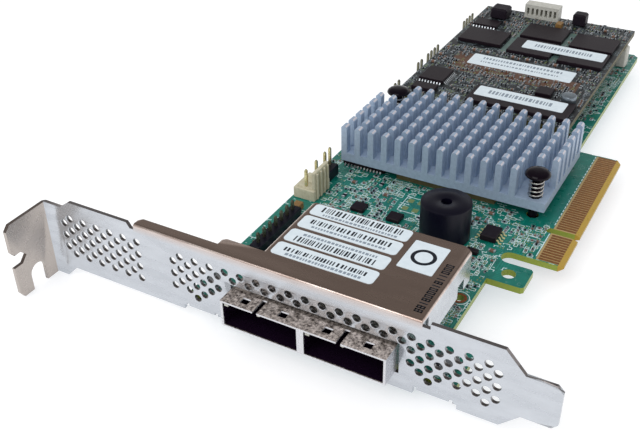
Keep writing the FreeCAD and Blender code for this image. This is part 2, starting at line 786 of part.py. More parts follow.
def memory_board_parts():
    """Memory chips, labels, connectors and coils on the upper board."""
    for number, spot in enumerate((
        (44.7, 137.5, 14, 11), (61.3, 148.2, 13.5, 11), (77.3, 146.9, 13.5, 11),
        (61.3, 135.4, 13.5, 11), (77.3, 134.6, 13.5, 11),
    ), 1):
        x, y, wide, deep = spot
        box(f"memory_chip_{number}", x, y, deck_top, wide, deep, chip_high)
    box("cache_chip", 62.5, 98.5, deck_top, 28.5, 10.5, chip_high)
    top = deck_top + chip_high
    labels = body("memory_labels")
    pad(labels, "XY_Plane", top, [rectangle(65, 139, 25, 6), rectangle(63.7, 102, 25.3, 6)],
        label_film)
    pad(labels, "XY_Plane", deck_top, [rectangle(53.5, 123, 31.5, 7.5)], label_film)
    box("driver_chip", 44.5, 151, deck_top, 8, 5.5, 1)
    lead_rows("driver_leads", 0.6, [(44.85, 149.8, 0.4, 1.2), (44.85, 156.5, 0.4, 1.2)],
              ("X_Axis", 0.98, 8), deck_top)
    box("logic_chip", 45.5, 105.5, deck_top, 7.5, 9, 1.1)
    logic = lead_rows("logic_leads", 0.6, [(45.95, 104.3, 0.35, 1.2), (45.95, 114.5, 0.35, 1.2)],
                      ("X_Axis", 0.9, 8), deck_top)
    side = pad(logic, "XY_Plane", deck_top, [rectangle(53, 106.1, 1.3, 0.35)], 0.6)
    repeat(logic, side, ("Y_Axis", 0.9, 9, False))
    box("small_chip", 46, 99, deck_top, 7, 4, 1.1)
    box("small_regulator", 78.5, 110.6, deck_top, 4.5, 5, 1.2)
    box("inductor_left", 46.9, 159.2, deck_top, 6.2, 6.2, 3.6)
    box("inductor_right", 72.8, 165, deck_top, 4.8, 4.8, 3.9)
    can = body("round_capacitor")
    pad(can, "XY_Plane", deck_top, [polygon(88, 111.7, 2.1, 12)], 2)
    box("tantalum_capacitor", 69, 160, deck_top, 2.2, 3.2, 1.8)
    plug = body("battery_connector")
    pad(plug, "XY_Plane", deck_top, [rectangle(57, 165.8, 11.3, 4)], 4.5)
    slot = cut(plug, "XZ_Plane", -164.8,
               [rectangle(57.75, deck_top + 1.1, 0.8, 2.3)], 3.4)
    repeat(plug, slot, ("X_Axis", 1.5, 7, False))


# ---- build, check, write ----------------------------------------------------

for build in (
    bracket, bracket_screws, ports, hood_labels, main_board, edge_contacts,
    main_board_parts, passives, heatsink, push_pins, push_pin_springs,
    memory_board, memory_board_parts,
):
    build()
doc.recompute()

NODES = """
slot_bracket bracket_screws port_shell port_insert_left port_insert_right hood_labels
main_board edge_contacts controller_package controller_die thermal_pad heatsink
push_pins push_pin_springs buzzer flash_chip flash_leads boot_chip boot_leads
regulator_left regulator_right small_transistor fan_header fan_header_pins
sensor_header sensor_header_pins led_header led_header_pins edge_header
edge_header_pins board_passives_brown board_passives_dark tantalum_main
memory_board board_plug board_socket rear_spacer front_spacers
memory_chip_1 memory_chip_2 memory_chip_3 memory_chip_4 memory_chip_5 cache_chip
memory_labels logic_chip logic_leads driver_chip driver_leads small_chip
small_regulator inductor_left inductor_right round_capacitor tantalum_capacitor
battery_connector memory_passives_brown memory_passives_dark
""".split()

for item in doc.Objects:
    if "Invalid" in item.State or "Error" in item.State:
        raise RuntimeError(f"{item.Label}: {item.State}")

os.makedirs("parts", exist_ok=True)
for name in NODES:
    node = doc.getObjectsByLabel(name)[0]
    if node.Shape.isNull() or not node.Shape.isValid() or not node.Shape.Solids:
        raise RuntimeError(f"{name}: no valid solid")
    node.Shape.exportStep(f"parts/{name}.step")
    print(name, len(node.Shape.Solids), round(node.Shape.Volume, 2))
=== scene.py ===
"""Looks of a raid controller card: finishes, fine parts, light and camera.

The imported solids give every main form. This script dresses them, rounds the
moulded and turned pieces, adds the small parts that crowd both boards, and
sets the card on a pale floor. Lengths are written in mm from the drawing datum
of the card (outer face of the bracket, outer end of its tab, component side of
the board) and turned into the row's metres by one function.
"""
import logging
import math
from dataclasses import dataclass, field
from enum import Enum
from typing import Any, Callable, Iterable, Sequence

import bmesh
import bpy
import numpy as np
from mathutils import Matrix, Vector


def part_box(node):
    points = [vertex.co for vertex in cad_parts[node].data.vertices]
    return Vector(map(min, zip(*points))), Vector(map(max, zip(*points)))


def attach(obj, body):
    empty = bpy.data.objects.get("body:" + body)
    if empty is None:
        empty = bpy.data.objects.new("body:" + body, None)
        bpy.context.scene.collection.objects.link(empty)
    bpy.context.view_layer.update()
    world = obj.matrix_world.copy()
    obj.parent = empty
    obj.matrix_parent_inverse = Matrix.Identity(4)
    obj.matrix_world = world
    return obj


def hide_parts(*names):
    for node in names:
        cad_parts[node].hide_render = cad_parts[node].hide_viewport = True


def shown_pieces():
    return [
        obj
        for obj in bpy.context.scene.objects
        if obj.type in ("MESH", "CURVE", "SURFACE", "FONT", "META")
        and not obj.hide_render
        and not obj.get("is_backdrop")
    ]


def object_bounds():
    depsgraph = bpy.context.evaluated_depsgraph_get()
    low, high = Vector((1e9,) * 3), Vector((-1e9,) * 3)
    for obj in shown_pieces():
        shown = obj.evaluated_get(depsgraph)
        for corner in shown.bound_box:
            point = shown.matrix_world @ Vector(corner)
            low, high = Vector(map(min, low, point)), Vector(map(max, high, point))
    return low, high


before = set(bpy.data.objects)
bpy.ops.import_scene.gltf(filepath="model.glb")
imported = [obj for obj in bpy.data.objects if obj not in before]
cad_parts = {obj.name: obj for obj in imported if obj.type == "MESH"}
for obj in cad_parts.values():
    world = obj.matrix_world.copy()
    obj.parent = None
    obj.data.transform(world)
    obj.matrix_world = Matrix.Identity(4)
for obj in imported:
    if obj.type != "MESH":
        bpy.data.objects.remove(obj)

logging.basicConfig(level=logging.INFO, format="%(message)s")
log = logging.getLogger("card")

MM = 0.001
DATUM = np.array([106.8, 60.35, 0.0])
CAD_BOX = [list(map(float, corner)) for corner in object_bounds()]
Array = np.ndarray
Region = tuple[tuple[float | None, ...], tuple[float | None, ...]]


class Side(Enum):
    """Which way a solder lead leaves its body."""

    LEFT = 180
    RIGHT = 0
    FRONT = 270
    BACK = 90


def row(points: Any) -> Array:
    """Turn datum mm into the row's metres.

    Args:
        points: one point or an array of points, mm.

    Returns:
        The same points in metres from the row's origin.
    """
    return (np.asarray(points, dtype=float) - DATUM) * MM


def linked(name: str, data: Any) -> Any:
    """Make an object from its data and put it in the scene."""
    thing = bpy.data.objects.new(name, data)
    bpy.context.scene.collection.objects.link(thing)
    return thing


def datum_box(node: str) -> tuple[Array, Array]:
    """Give a node's lowest and highest corners in datum mm."""
    low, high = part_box(node)
    return np.array(low) / MM + DATUM, np.array(high) / MM + DATUM


# ---- finishes ---------------------------------------------------------------


def linear(code: str) -> tuple[float, float, float, float]:
    """Turn an sRGB hex value into linear colour.

    Args:
        code: six hex digits, with or without a leading mark.

    Returns:
        Linear red, green, blue and an alpha of one.
    """
    code = code.lstrip("#")
    raw = [int(code[i:i + 2], 16) / 255 for i in (0, 2, 4)]
    value = [c / 12.92 if c <= 0.04045 else ((c + 0.055) / 1.055) ** 2.4 for c in raw]
    return value[0], value[1], value[2], 1.0


def add_node(tree: Any, kind: str, inputs: dict[Any, Any] | None = None, **settings: Any) -> Any:
    """Add one shader node.

    Args:
        tree: the node tree.
        kind: Blender's node type.
        inputs: socket name or number to a value, or to an output to link.
        settings: the node's own properties.

    Returns:
        The new node.
    """
    node = tree.nodes.new(kind)
    for key, value in settings.items():
        setattr(node, key, value)
    for key, value in (inputs or {}).items():
        if isinstance(value, bpy.types.NodeSocket):
            tree.links.new(value, node.inputs[key])
        else:
            node.inputs[key].default_value = value
    return node


def blend_colours(tree: Any, factor: Any, first: Any, second: Any) -> Any:
    """Mix two colours by a factor.

    Args:
        tree: the node tree.
        factor: an output or a number.
        first: colour at nought, an output or linear values.
        second: colour at one.

    Returns:
        The mixed colour's output.
    """
    mix = add_node(tree, "ShaderNodeMix", {0: factor, 6: first, 7: second}, data_type="RGBA")
    return mix.outputs[2]


def calc(tree: Any, operation: str, first: Any, second: Any = 0.0) -> Any:
    """Add one arithmetic step and hand back its output."""
    step = add_node(tree, "ShaderNodeMath", {0: first, 1: second}, operation=operation)
    return step.outputs[0]


def tinted(tree: Any, below: Any, mark: Any, code: str, share: Any = None) -> Any:
    """Lay a plain colour over another one where a mark says so.

    Args:
        tree: the node tree.
        below: the colour underneath.
        mark: one where the new colour lies.
        code: its hex value.
        share: how much of it covers, a number or an output; all of it if None.

    Returns:
        The laid colour's output.
    """
    if share is not None:
        mark = calc(tree, "MULTIPLY", mark, share)
    return blend_colours(tree, mark, below, linear(code))


@dataclass(frozen=True)
class Finish:
    """A real material with its colour swing, gloss and surface grain."""

    name: str
    colour: str
    second: str
    metallic: float = 0.0
    roughness: float = 0.5
    swing: float = 0.08
    grain_mm: float = 0.4
    bump_mm: float = 0.01
    ior: float = 1.5
    stretch: tuple[float, float, float] = (1.0, 1.0, 1.0)
    coat: float = 0.0

    def axes(self, tree: Any, coords: Any) -> Any:
        """Split position into its three axes."""
        return add_node(tree, "ShaderNodeSeparateXYZ", {0: coords}).outputs

    def inside(self, tree: Any, coords: Any, low: Sequence[float], high: Sequence[float]) -> Any:
        """Mark a box of the object.

        Args:
            tree: the node tree.
            coords: object position.
            low: lowest corner, datum mm; None leaves that side open.
            high: highest corner.

        Returns:
            One inside the box and nought outside.
        """
        split = self.axes(tree, coords)
        mark: Any = 1.0
        for axis in range(3):
            for bound, test in ((low[axis], "GREATER_THAN"), (high[axis], "LESS_THAN")):
                if bound is None:
                    continue
                limit = (bound - DATUM[axis]) * MM
                mark = calc(tree, "MULTIPLY", mark, calc(tree, test, split[axis], float(limit)))
        return mark

    def lean(self, tree: Any) -> Any:
        """Give how far a face looks up: one for level, nought for upright."""
        return self.axes(tree, add_node(tree, "ShaderNodeNewGeometry").outputs["True Normal"])[2]

    def upright(self, tree: Any, limit: float) -> Any:
        """Mark the faces that lean less than a limit."""
        return calc(tree, "LESS_THAN", calc(tree, "ABSOLUTE", self.lean(tree)), limit)

    def colour_of(self, tree: Any, coords: Any, grain: Any) -> Any:
        """Give the colour: the grain carries it from the first to the second."""
        return blend_colours(tree, grain, linear(self.colour), linear(self.second))

    def gleam_of(self, tree: Any) -> Any:
        """Give the share of surface reflection; None keeps the shader's own."""
        return None

    def make(self) -> Any:
        """Build the material.

        Returns:
            The finished material.
        """
        made = bpy.data.materials.new(self.name)
        made.use_nodes = True
        tree = made.node_tree
        shader = next(n for n in tree.nodes if n.type == "BSDF_PRINCIPLED")
        coords = add_node(tree, "ShaderNodeTexCoord").outputs["Object"]
        sized = add_node(tree, "ShaderNodeMapping", {0: coords, 3: self.stretch}).outputs[0]
        noise = add_node(tree, "ShaderNodeTexNoise", {
            "Vector": sized, "Scale": 1 / (self.grain_mm * MM), "Detail": 4.0,
            "Roughness": 0.6,
        }).outputs[0]
        spread = add_node(tree, "ShaderNodeMapRange", {0: noise, 1: 0.32, 2: 0.68}).outputs[0]
        tree.links.new(self.colour_of(tree, coords, spread), shader.inputs["Base Color"])
        gloss = add_node(tree, "ShaderNodeMapRange", {
            0: noise, 1: 0.3, 2: 0.7,
            3: max(0.02, self.roughness - self.swing), 4: min(1.0, self.roughness + self.swing),
        }).outputs[0]
        tree.links.new(gloss, shader.inputs["Roughness"])
        bump = add_node(tree, "ShaderNodeBump", {
            "Strength": 0.5, "Distance": self.bump_mm * MM, "Height": noise,
        }).outputs[0]
        tree.links.new(bump, shader.inputs["Normal"])
        gleam = self.gleam_of(tree)
        if gleam is not None:
            tree.links.new(gleam, shader.inputs["Specular IOR Level"])
        shader.inputs["Metallic"].default_value = self.metallic
        if self.metallic < 0.5:
            shader.inputs["IOR"].default_value = self.ior
        if self.coat:
            shader.inputs["Coat Weight"].default_value = self.coat
            shader.inputs["Coat Roughness"].default_value = 0.2
        return made


@dataclass(frozen=True)
class HoodedNickel(Finish):
    """Nickel plate: cool on the plate, with painted light and shade: a brown reflection on the
    hood's top, a highlight on its fold.
    """

    # Colours below, in order: a painted brown reflection of a dark room on the hood's top, a
    # painted highlight on its fold (two tones), a painted dark reflection on upward cut edges,
    # painted shade in the vents, a painted highlight band under the fold, and painted shade on the
    # screw tab.
    hood: str = "948075"
    fold_highlight: str = "efe0d8"
    wear_and_highlight: str = "b9a196"
    rim: str = "5f4f47"
    wall: str = "5b5552"
    fold_band_highlight: str = "cdb8ac"
    tab: str = "b7afa9"
    band_heights: tuple[float, float] = (12.7, 14.2)
    tab_region: Region = ((None, None, None), (1.1, -0.2, None))
    hood_region: Region = ((26, -0.1, 13.9), (93.6, 30, 15))
    band_region: Region = ((26.5, -0.1, 12.6), (93.3, 0.2, 14.3))
    rim_region: Region = ((-1, -20, None), (121, 0.9, 14.95))
    vent_region: Region = ((3, 0.1, -1.5), (117, 0.78, 12))

    def colour_of(self, tree: Any, coords: Any, grain: Any) -> Any:
        """Give cool nickel on the plate, with painted light and shade by place and facing.

        Where a face lies and how it leans pick the colour: level faces of the
        hood get a warm brown painted reflection, its rounded fold and a band
        below it a painted highlight, upward cut edges a dark painted reflection,
        and the walls of the vents and the screw tab painted shade.
        """
        # The screw tab is painted a darker warm grey than the plate: painted shade.
        tab = self.inside(tree, coords, *self.tab_region)
        plain = tinted(tree, Finish.colour_of(self, tree, coords, grain), tab, self.tab)
        _, facing, lean = self.axes(
            tree, add_node(tree, "ShaderNodeNewGeometry").outputs["Normal"])
        hood = self.inside(tree, coords, *self.hood_region)
        level = add_node(tree, "ShaderNodeMapRange", {0: lean, 1: 0.82, 2: 0.93}).outputs[0]
        rising = add_node(tree, "ShaderNodeMapRange", {0: lean, 1: 0.12, 2: 0.5}).outputs[0]
        # The rounded fold of the hood gets a pale pinkish painted highlight, graded by how the
        # face leans.
        wear_and_highlight = blend_colours(tree, calc(tree, "MULTIPLY", hood, rising), plain,
                             blend_colours(tree, grain, linear(self.fold_highlight), linear(self.wear_and_highlight)))
        # Level faces of the hood get a warm brown painted reflection of a dark room.
        top = tinted(tree, wear_and_highlight, hood, self.hood, level)
        start, end = self.band_heights
        height = add_node(tree, "ShaderNodeMapRange", {
            0: self.axes(tree, coords)[2], 1: start * MM, 2: end * MM}).outputs[0]
        below = calc(tree, "MULTIPLY", height, self.inside(tree, coords, *self.band_region))
        # A pale band on the front face just below the fold: painted highlight.
        top = tinted(tree, top, below, self.fold_band_highlight, 0.6)
        # Upward-facing cut edges outside the hood get a dark brown painted reflection.
        cut = calc(tree, "MULTIPLY", self.inside(tree, coords, *self.rim_region),
                   calc(tree, "GREATER_THAN", lean, 0.6))
        cut = calc(tree, "MULTIPLY", cut, calc(tree, "SUBTRACT", 1.0, hood))
        edged = tinted(tree, top, cut, self.rim, 0.75)
        # The walls of the vents are painted darker: painted shade in the holes.
        wall = calc(tree, "LESS_THAN", calc(tree, "ABSOLUTE", facing), 0.45)
        punched = calc(tree, "MULTIPLY", wall, self.inside(tree, coords, *self.vent_region))
        return tinted(tree, edged, punched, self.wall, 0.7)


@dataclass(frozen=True)
class CagePlate(Finish):
    """Thin nickel over a stamped cage: blotched on top, a painted highlight on its upright faces
    and rims, painted shade in its bays.
    """

    # The first colour is a pale painted highlight for upright faces, the second painted shade for
    # the bays.
    rim: str = "d4d4d8"
    bay_shade: str = "2e1a36"
    bays: tuple[Region, ...] = (((51.87, -4.45, 1.02), (69.13, 30, 6.72)),
                                ((70.67, -4.45, 1.02), (87.93, 30, 6.72)))

    def colour_of(self, tree: Any, coords: Any, grain: Any) -> Any:
        """Blotch the level top, paint a pale highlight on upright skins and paint shade in the
        bays.
        """
        top = Finish.colour_of(self, tree, coords, grain)
        # Upright faces get a pale painted highlight.
        plate = tinted(tree, top, self.upright(tree, 0.5), self.rim)
        # The bays' inner faces are painted near black: painted shade where no light reaches.
        for region in self.bays:
            plate = tinted(tree, plate, self.inside(tree, coords, *region), self.bay_shade)
        return plate


@dataclass(frozen=True)
class TipHighlightAnodised(Finish):
    """Anodised pins whose bevelled tips carry a pale painted highlight."""

    tip: str = "d8d4dc"
    tips: Region = ((40, 60, 12.72), (100, 95, None))

    def colour_of(self, tree: Any, coords: Any, grain: Any) -> Any:
        """Keep the blue-grey skin and lay a pale painted highlight on the bevels."""
        skin = Finish.colour_of(self, tree, coords, grain)
        lean = self.lean(tree)
        high = self.inside(tree, coords, *self.tips)
        bevel = calc(tree, "MULTIPLY", calc(tree, "GREATER_THAN", lean, 0.5),
                     calc(tree, "LESS_THAN", lean, 0.95))
        # The upper bevels of the pins get a pale painted highlight.
        return tinted(tree, skin, bevel, self.tip, high)


@dataclass(frozen=True)
class BoardMask(Finish):
    """Solder mask over copper: tracks, pours, vias and white printed outlines."""

    track: str = "188c7a"
    silk: str = "dcf2f4"
    cell_mm: float = 2.6
    silk_share: float = 0.42
    track_pitch: float = 0.62
    brick_mm: float = 3.1
    patch_mm: float = 2.4

    def colour_of(self, tree: Any, coords: Any, grain: Any) -> Any:
        """Lay tracks as thin bands inside square cells and print over them.

        Cells come from a square-distance Voronoi; each cell's random value picks
        whether its bands run across, along, or are missing.
        """
        mask = Finish.colour_of(self, tree, coords, grain)
        split = self.axes(tree, coords)
        flat = add_node(tree, "ShaderNodeCombineXYZ", {0: split[0], 1: split[1]}).outputs[0]
        cells = add_node(tree, "ShaderNodeTexVoronoi", {
            "Vector": flat, "Scale": 1 / (self.cell_mm * MM), "Randomness": 0.8,
        }, distance="CHEBYCHEV").outputs
        chance = add_node(tree, "ShaderNodeSeparateColor", {0: cells["Color"]}).outputs
        bands = []
        for axis in (0, 1):
            wave = calc(tree, "FRACT", calc(tree, "DIVIDE", split[axis], self.track_pitch * MM))
            bands.append(calc(tree, "LESS_THAN", wave, 0.42))
        along = calc(tree, "GREATER_THAN", chance[0], 0.5)
        picked = add_node(tree, "ShaderNodeMix", {0: along, 2: bands[0], 3: bands[1]}).outputs[0]
        picked = calc(tree, "MULTIPLY", picked, calc(tree, "GREATER_THAN", chance[1], 0.35))
        return self.print_over(tree, tinted(tree, mask, picked, self.track, 0.75), flat)

    def cut_side(self, tree: Any) -> Any:
        """Mark the upright faces, where the routed laminate shows."""
        return self.upright(tree, 0.3)

    def gleam_of(self, tree: Any) -> Any:
        """Dull the routed edges, which have no mask to shine."""
        return add_node(tree, "ShaderNodeMapRange", {
            0: self.cut_side(tree), 1: 0.0, 2: 1.0, 3: 0.5, 4: 0.08}).outputs[0]

    def print_over(self, tree: Any, below: Any, flat: Any) -> Any:
        """Print fine white outlines where a coarse noise lets them through."""
        bricks = add_node(tree, "ShaderNodeTexBrick", {
            "Vector": flat, "Scale": 1 / (self.brick_mm * MM), "Mortar Size": 0.035,
            "Color1": (0, 0, 0, 1), "Color2": (0, 0, 0, 1), "Mortar": (1, 1, 1, 1),
            "Brick Width": 0.5, "Row Height": 0.29,
        }).outputs[0]
        where = add_node(tree, "ShaderNodeTexNoise", {
            "Vector": flat, "Scale": 1 / (self.patch_mm * MM), "Detail": 1.0,
        }).outputs[0]
        shown = calc(tree, "GREATER_THAN", where, 1.0 - self.silk_share)
        white = calc(tree, "MULTIPLY", add_node(
            tree, "ShaderNodeSeparateColor", {0: bricks}).outputs[0], shown)
        return tinted(tree, below, white, self.silk, 0.85)


@dataclass(frozen=True)
class FingerBoardMask(BoardMask):
    """The main board: green mask, bare edges and a bevelled, bare finger edge."""

    edge: str = "96a446"
    bare: str = "b59a66"
    bevel: str = "b8963a"
    finger_field: Region = ((100.4, 48.05, None), (110, 99.6, None))
    quiet: tuple[Region, ...] = (((96, 30, None), (110, 47, None)),
                                 ((93.4, 59, None), (100.4, 99.6, None)))
    slope: Region = ((105.55, 47.6, None), (110, 110, None))

    def colour_of(self, tree: Any, coords: Any, grain: Any) -> Any:
        """Keep the mask off the finger field and show laminate on cut edges."""
        green = BoardMask.colour_of(self, tree, coords, grain)
        kept = tinted(tree, green, self.inside(tree, coords, *self.finger_field), self.bare)
        plain = Finish.colour_of(self, tree, coords, grain)
        for region in self.quiet:
            clear = self.inside(tree, coords, *region)
            kept = blend_colours(tree, calc(tree, "MULTIPLY", clear, 0.9), kept, plain)
        kept = tinted(tree, kept, self.cut_side(tree), self.edge)
        return tinted(tree, kept, self.inside(tree, coords, *self.slope), self.bevel)


@dataclass(frozen=True)
class UpperBoardMask(BoardMask):
    """The memory board: olive mask with rust brown pours and olive cut edges."""

    pour: str = "5c3820"
    edge: str = "57502e"
    lane: str = "5f7a74"
    pours: tuple[Region, ...] = (((50, 116.8, None), (88, 124.4, None)),
                                 ((48.5, 124, None), (53.5, 130, None)))
    lanes: tuple[Region, ...] = (((59.2, 135, None), (61.3, 159, None)),
                                 ((74.9, 135, None), (77.2, 159, None)))

    def colour_of(self, tree: Any, coords: Any, grain: Any) -> Any:
        """Add brown pours, paler lanes between chips and laminate on cut edges."""
        olive = BoardMask.colour_of(self, tree, coords, grain)
        for regions, share, colour in ((self.pours, 0.9, self.pour),
                                       (self.lanes, 0.75, self.lane)):
            for region in regions:
                olive = tinted(tree, olive, self.inside(tree, coords, *region), colour, share)
        return tinted(tree, olive, self.cut_side(tree), self.edge)


@dataclass(frozen=True)
class Finishes:
    """Every material of the card, made once."""

    made: dict[str, Any] = field(default_factory=dict)

    def get(self, finish: Finish) -> Any:
        """Make a finish the first time it is asked for."""
        if finish.name not in self.made:
            self.made[finish.name] = finish.make()
        return self.made[finish.name]


FINISHES = Finishes()

# Rolled steel under bright nickel: pale, cool, almost a mirror, with faint drawn streaks; painted
# reflections, highlights and shade are laid on its hood, fold, edges, vents and tab.
NICKEL_SHEET = HoodedNickel("bright_nickel_sheet", "ccd0d6", "c0c4ca", 0.85, 0.26, 0.05, 2.4,
                            0.002, stretch=(0.25, 1.0, 1.0))
# Stamped cage, plated thinly: pinkish grey with brown blotches; pale upright faces and cut rims
# are a painted highlight, black bays painted shade.
CAGE_NICKEL = CagePlate("blotched_nickel_cage", "3a2c2a", "e4d6cc", 0.7, 0.28, 0.1, 0.65, 0.006)
# Machine screw in bright zinc: a clean silver glint.
BRIGHT_ZINC = Finish("bright_zinc_screw", "c4c6c8", "a8abae", 1.0, 0.22, 0.06, 0.5, 0.004)
# Glass-filled nylon, moulded: near black with a violet cast and a soft sheen.
BLACK_NYLON = Finish("moulded_black_nylon", "050414", "0c0a1e", 0.0, 0.36, 0.08, 0.3, 0.006, 1.33)
# Epoxy compound from a spark-eroded mould: dark violet grey, fine satin grain.
EPOXY_BLACK = Finish("epoxy_moulding", "180c14", "1e121c", 0.0, 0.42, 0.08, 0.22, 0.015, 1.33)
# Coated paper, calendered: cold pale blue-white, matte.
LABEL_PAPER = Finish("coated_label_paper", "e2edf4", "d8e4ec", 0.0, 0.6, 0.05, 1.5, 0.003)
# Thermal print: soft-edged blue-black.
LABEL_INK = Finish("printed_ink", "0c141e", "1a222e", 0.0, 0.55, 0.05, 0.3, 0.002, 1.33)
# Thin thermal print: reads as mid grey at reading distance.
PALE_INK = Finish("printed_grey_ink", "7d8a98", "95a1ae", 0.0, 0.55, 0.05, 0.3, 0.002)
# Liquid mask, curtain coated over woven laminate: deep sea green with a wet gloss.
GREEN_MASK = FingerBoardMask("green_solder_mask", "066a5e", "0c7a6c", 0.0, 0.3, 0.06, 3.2,
                             0.006, coat=0.25)
# The same mask over full copper pours: dark olive grey.
OLIVE_MASK = UpperBoardMask("olive_solder_mask", "0e1016", "1e2226", 0.0, 0.34, 0.08, 2.0,
                            0.008, 1.4, track="363c3c", silk="76848a", silk_share=0.45)
# Hard gold over nickel, rubbed by a socket: brown gold bars.
FINGER_GOLD = Finish("rubbed_finger_gold", "8a5c36", "a87244", 0.6, 0.36, 0.08, 0.8, 0.003)
# Drawn square wire with a flash of gold: pale greyish brass.
POST_GOLD = Finish("gold_flashed_post", "dcd4a6", "a89e70", 0.9, 0.26, 0.08, 0.6, 0.003)
# The same wire with its flash worn: dull grey with a brass cast.
POST_DULL = Finish("dull_tinned_post", "8c8a76", "5c5b4c", 0.9, 0.3, 0.08, 0.6, 0.003)
# Thin flash over tinned leads: pale straw glints.
LEAD_FLASH = Finish("pale_flashed_lead", "efe9b8", "cfc88e", 0.35, 0.35, 0.08, 0.5, 0.003)
# Hot tin dip on copper leads: broken silver glints.
TINNED = Finish("tinned_lead", "d4d8dc", "a9afb5", 0.9, 0.26, 0.1, 0.5, 0.004)
# Reflowed solder over a tinned end cap: rounded, bright, slightly frosty.
SOLDER = Finish("solder_and_tinned_end", "e0e6ea", "98a2aa", 0.8, 0.3, 0.12, 0.4, 0.01)
# Bare package laminate, routed: dull olive brown.
PACKAGE_LAMINATE = Finish("bare_package_laminate", "5c5434", "6c6240", 0.0, 0.5, 0.06, 0.6, 0.006)
# Ground silicon: a flat dark mirror.
SILICON = Finish("ground_silicon", "5a6068", "6c727a", 0.8, 0.2, 0.04, 0.8, 0.001)
# Filled silicone pad: chalky grey, no shine.
GAP_PAD = Finish("soft_gap_pad", "8c8c92", "7c7c84", 0.0, 0.8, 0.05, 0.5, 0.02)
# Forged aluminium pins, clear blue-grey anodising: satin with a milky sheen; the bevelled tips
# carry a painted highlight.
ANODISED = TipHighlightAnodised("blue_grey_anodised_aluminium", "b0c2d8", "a0b3ca", 0.3, 0.45, 0.06,
                          0.9, 0.004)
# Polished mould, black nylon: glossy, almost wet.
PIN_NYLON = Finish("moulded_push_pin_nylon", "0a040c", "120814", 0.0, 0.16, 0.04, 0.5, 0.003, 1.27)
# Drawn music wire, nickel flashed: bright hard highlights.
SPRING_WIRE = Finish("drawn_spring_wire", "e0deda", "a09c98", 1.0, 0.2, 0.06, 0.5, 0.003)
# Natural nylon moulding: warm ivory, slightly waxy.
CREAM_NYLON = Finish("moulded_cream_nylon", "cfcab2", "bfb99e", 0.0, 0.42, 0.06, 0.8, 0.008)
# White nylon moulding, yellowed a little: off-white.
WHITE_NYLON = Finish("moulded_white_nylon", "cdccc4", "bbbab2", 0.0, 0.45, 0.06, 0.8, 0.01)
# Fired ceramic capacitor body: dull tan brown.
CERAMIC = Finish("fired_ceramic_body", "8a6a58", "6b4f42", 0.0, 0.45, 0.08, 0.5, 0.01)
# Glazed resistor body: smooth near black.
RESISTOR = Finish("glazed_resistor_body", "10121a", "1c1e28", 0.0, 0.3, 0.08, 0.3, 0.005, 1.4)
# Moulded tantalum case: mustard brown, fine satin.
TANTALUM = Finish("moulded_tantalum_body", "94703e", "7c5c30", 0.0, 0.45, 0.06, 0.5, 0.008)
# Pressed ferrite: dark, granular and slightly sparkling.
FERRITE = Finish("pressed_ferrite", "140c16", "201824", 0.0, 0.5, 0.08, 0.3, 0.02, 1.33)
# Drawn can aluminium: soft grey with a bright rolled edge.
CAN = Finish("drawn_can_aluminium", "8e98a1", "7b858e", 0.8, 0.32, 0.08, 0.6, 0.004)
# Epoxy print on the mask: pale sea green where the mask tints it.
SILK = Finish("printed_silk", "e6f6f8", "cae4e6", 0.0, 0.55, 0.04, 0.5, 0.002)
# The same print over the dark board: cool grey.
SILK_GREY = Finish("printed_silk_grey", "7e8b92", "5c686e", 0.0, 0.55, 0.04, 0.5, 0.002)
# Bare copper land, warm and slightly tarnished.
COPPER_RING = Finish("bare_copper_ring", "a05a3a", "b87350", 0.9, 0.35, 0.06, 0.5, 0.004)
# Copper land under clear mask: olive tan patches.
LAND = Finish("masked_land", "8a9a66", "7c8c5a", 0.2, 0.4, 0.06, 0.5, 0.003)


# ---- meshes -----------------------------------------------------------------


def piece(name: str, points: Array, faces: Any, finish: Finish, smooth: bool = False) -> Any:
    """Make one visible piece that rides on the card.

    Args:
        name: the piece's name.
        points: N by 3, datum mm.
        faces: face corner numbers.
        finish: its material.
        smooth: shade smoothly.

    Returns:
        The new object.
    """
    mesh = bpy.data.meshes.new(name)
    joins = faces.tolist() if isinstance(faces, np.ndarray) else faces
    mesh.from_pydata(row(points).reshape(-1, 3).tolist(), [], joins)
    mesh.update()
    thing = linked(name, mesh)
    mesh.materials.append(FINISHES.get(finish))
    if smooth:
        mesh.polygons.foreach_set("use_smooth", [True] * len(mesh.polygons))
    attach(thing, "root")
    return thing


CORNERS = np.array([[i & 1, i >> 1 & 1, i >> 2 & 1] for i in range(8)], dtype=float)
BOX_FACES = np.array([[0, 2, 3, 1], [4, 5, 7, 6], [0, 1, 5, 4],
                      [2, 6, 7, 3], [0, 4, 6, 2], [1, 3, 7, 5]])


def plain_boxes(low: Array, high: Array) -> tuple[Array, Array]:
    """Work out many upright boxes at once: point = low + (high - low) * corner.

    Args:
        low: N by 3 lowest corners.
        high: N by 3 highest corners.

    Returns:
        Points and faces.
    """
    low, high = np.atleast_2d(low), np.atleast_2d(high)
    points = low[:, None] + (high - low)[:, None] * CORNERS[None]
    faces = BOX_FACES[None] + 8 * np.arange(len(low))[:, None, None]
    return points.reshape(-1, 3), faces.reshape(-1, 4)


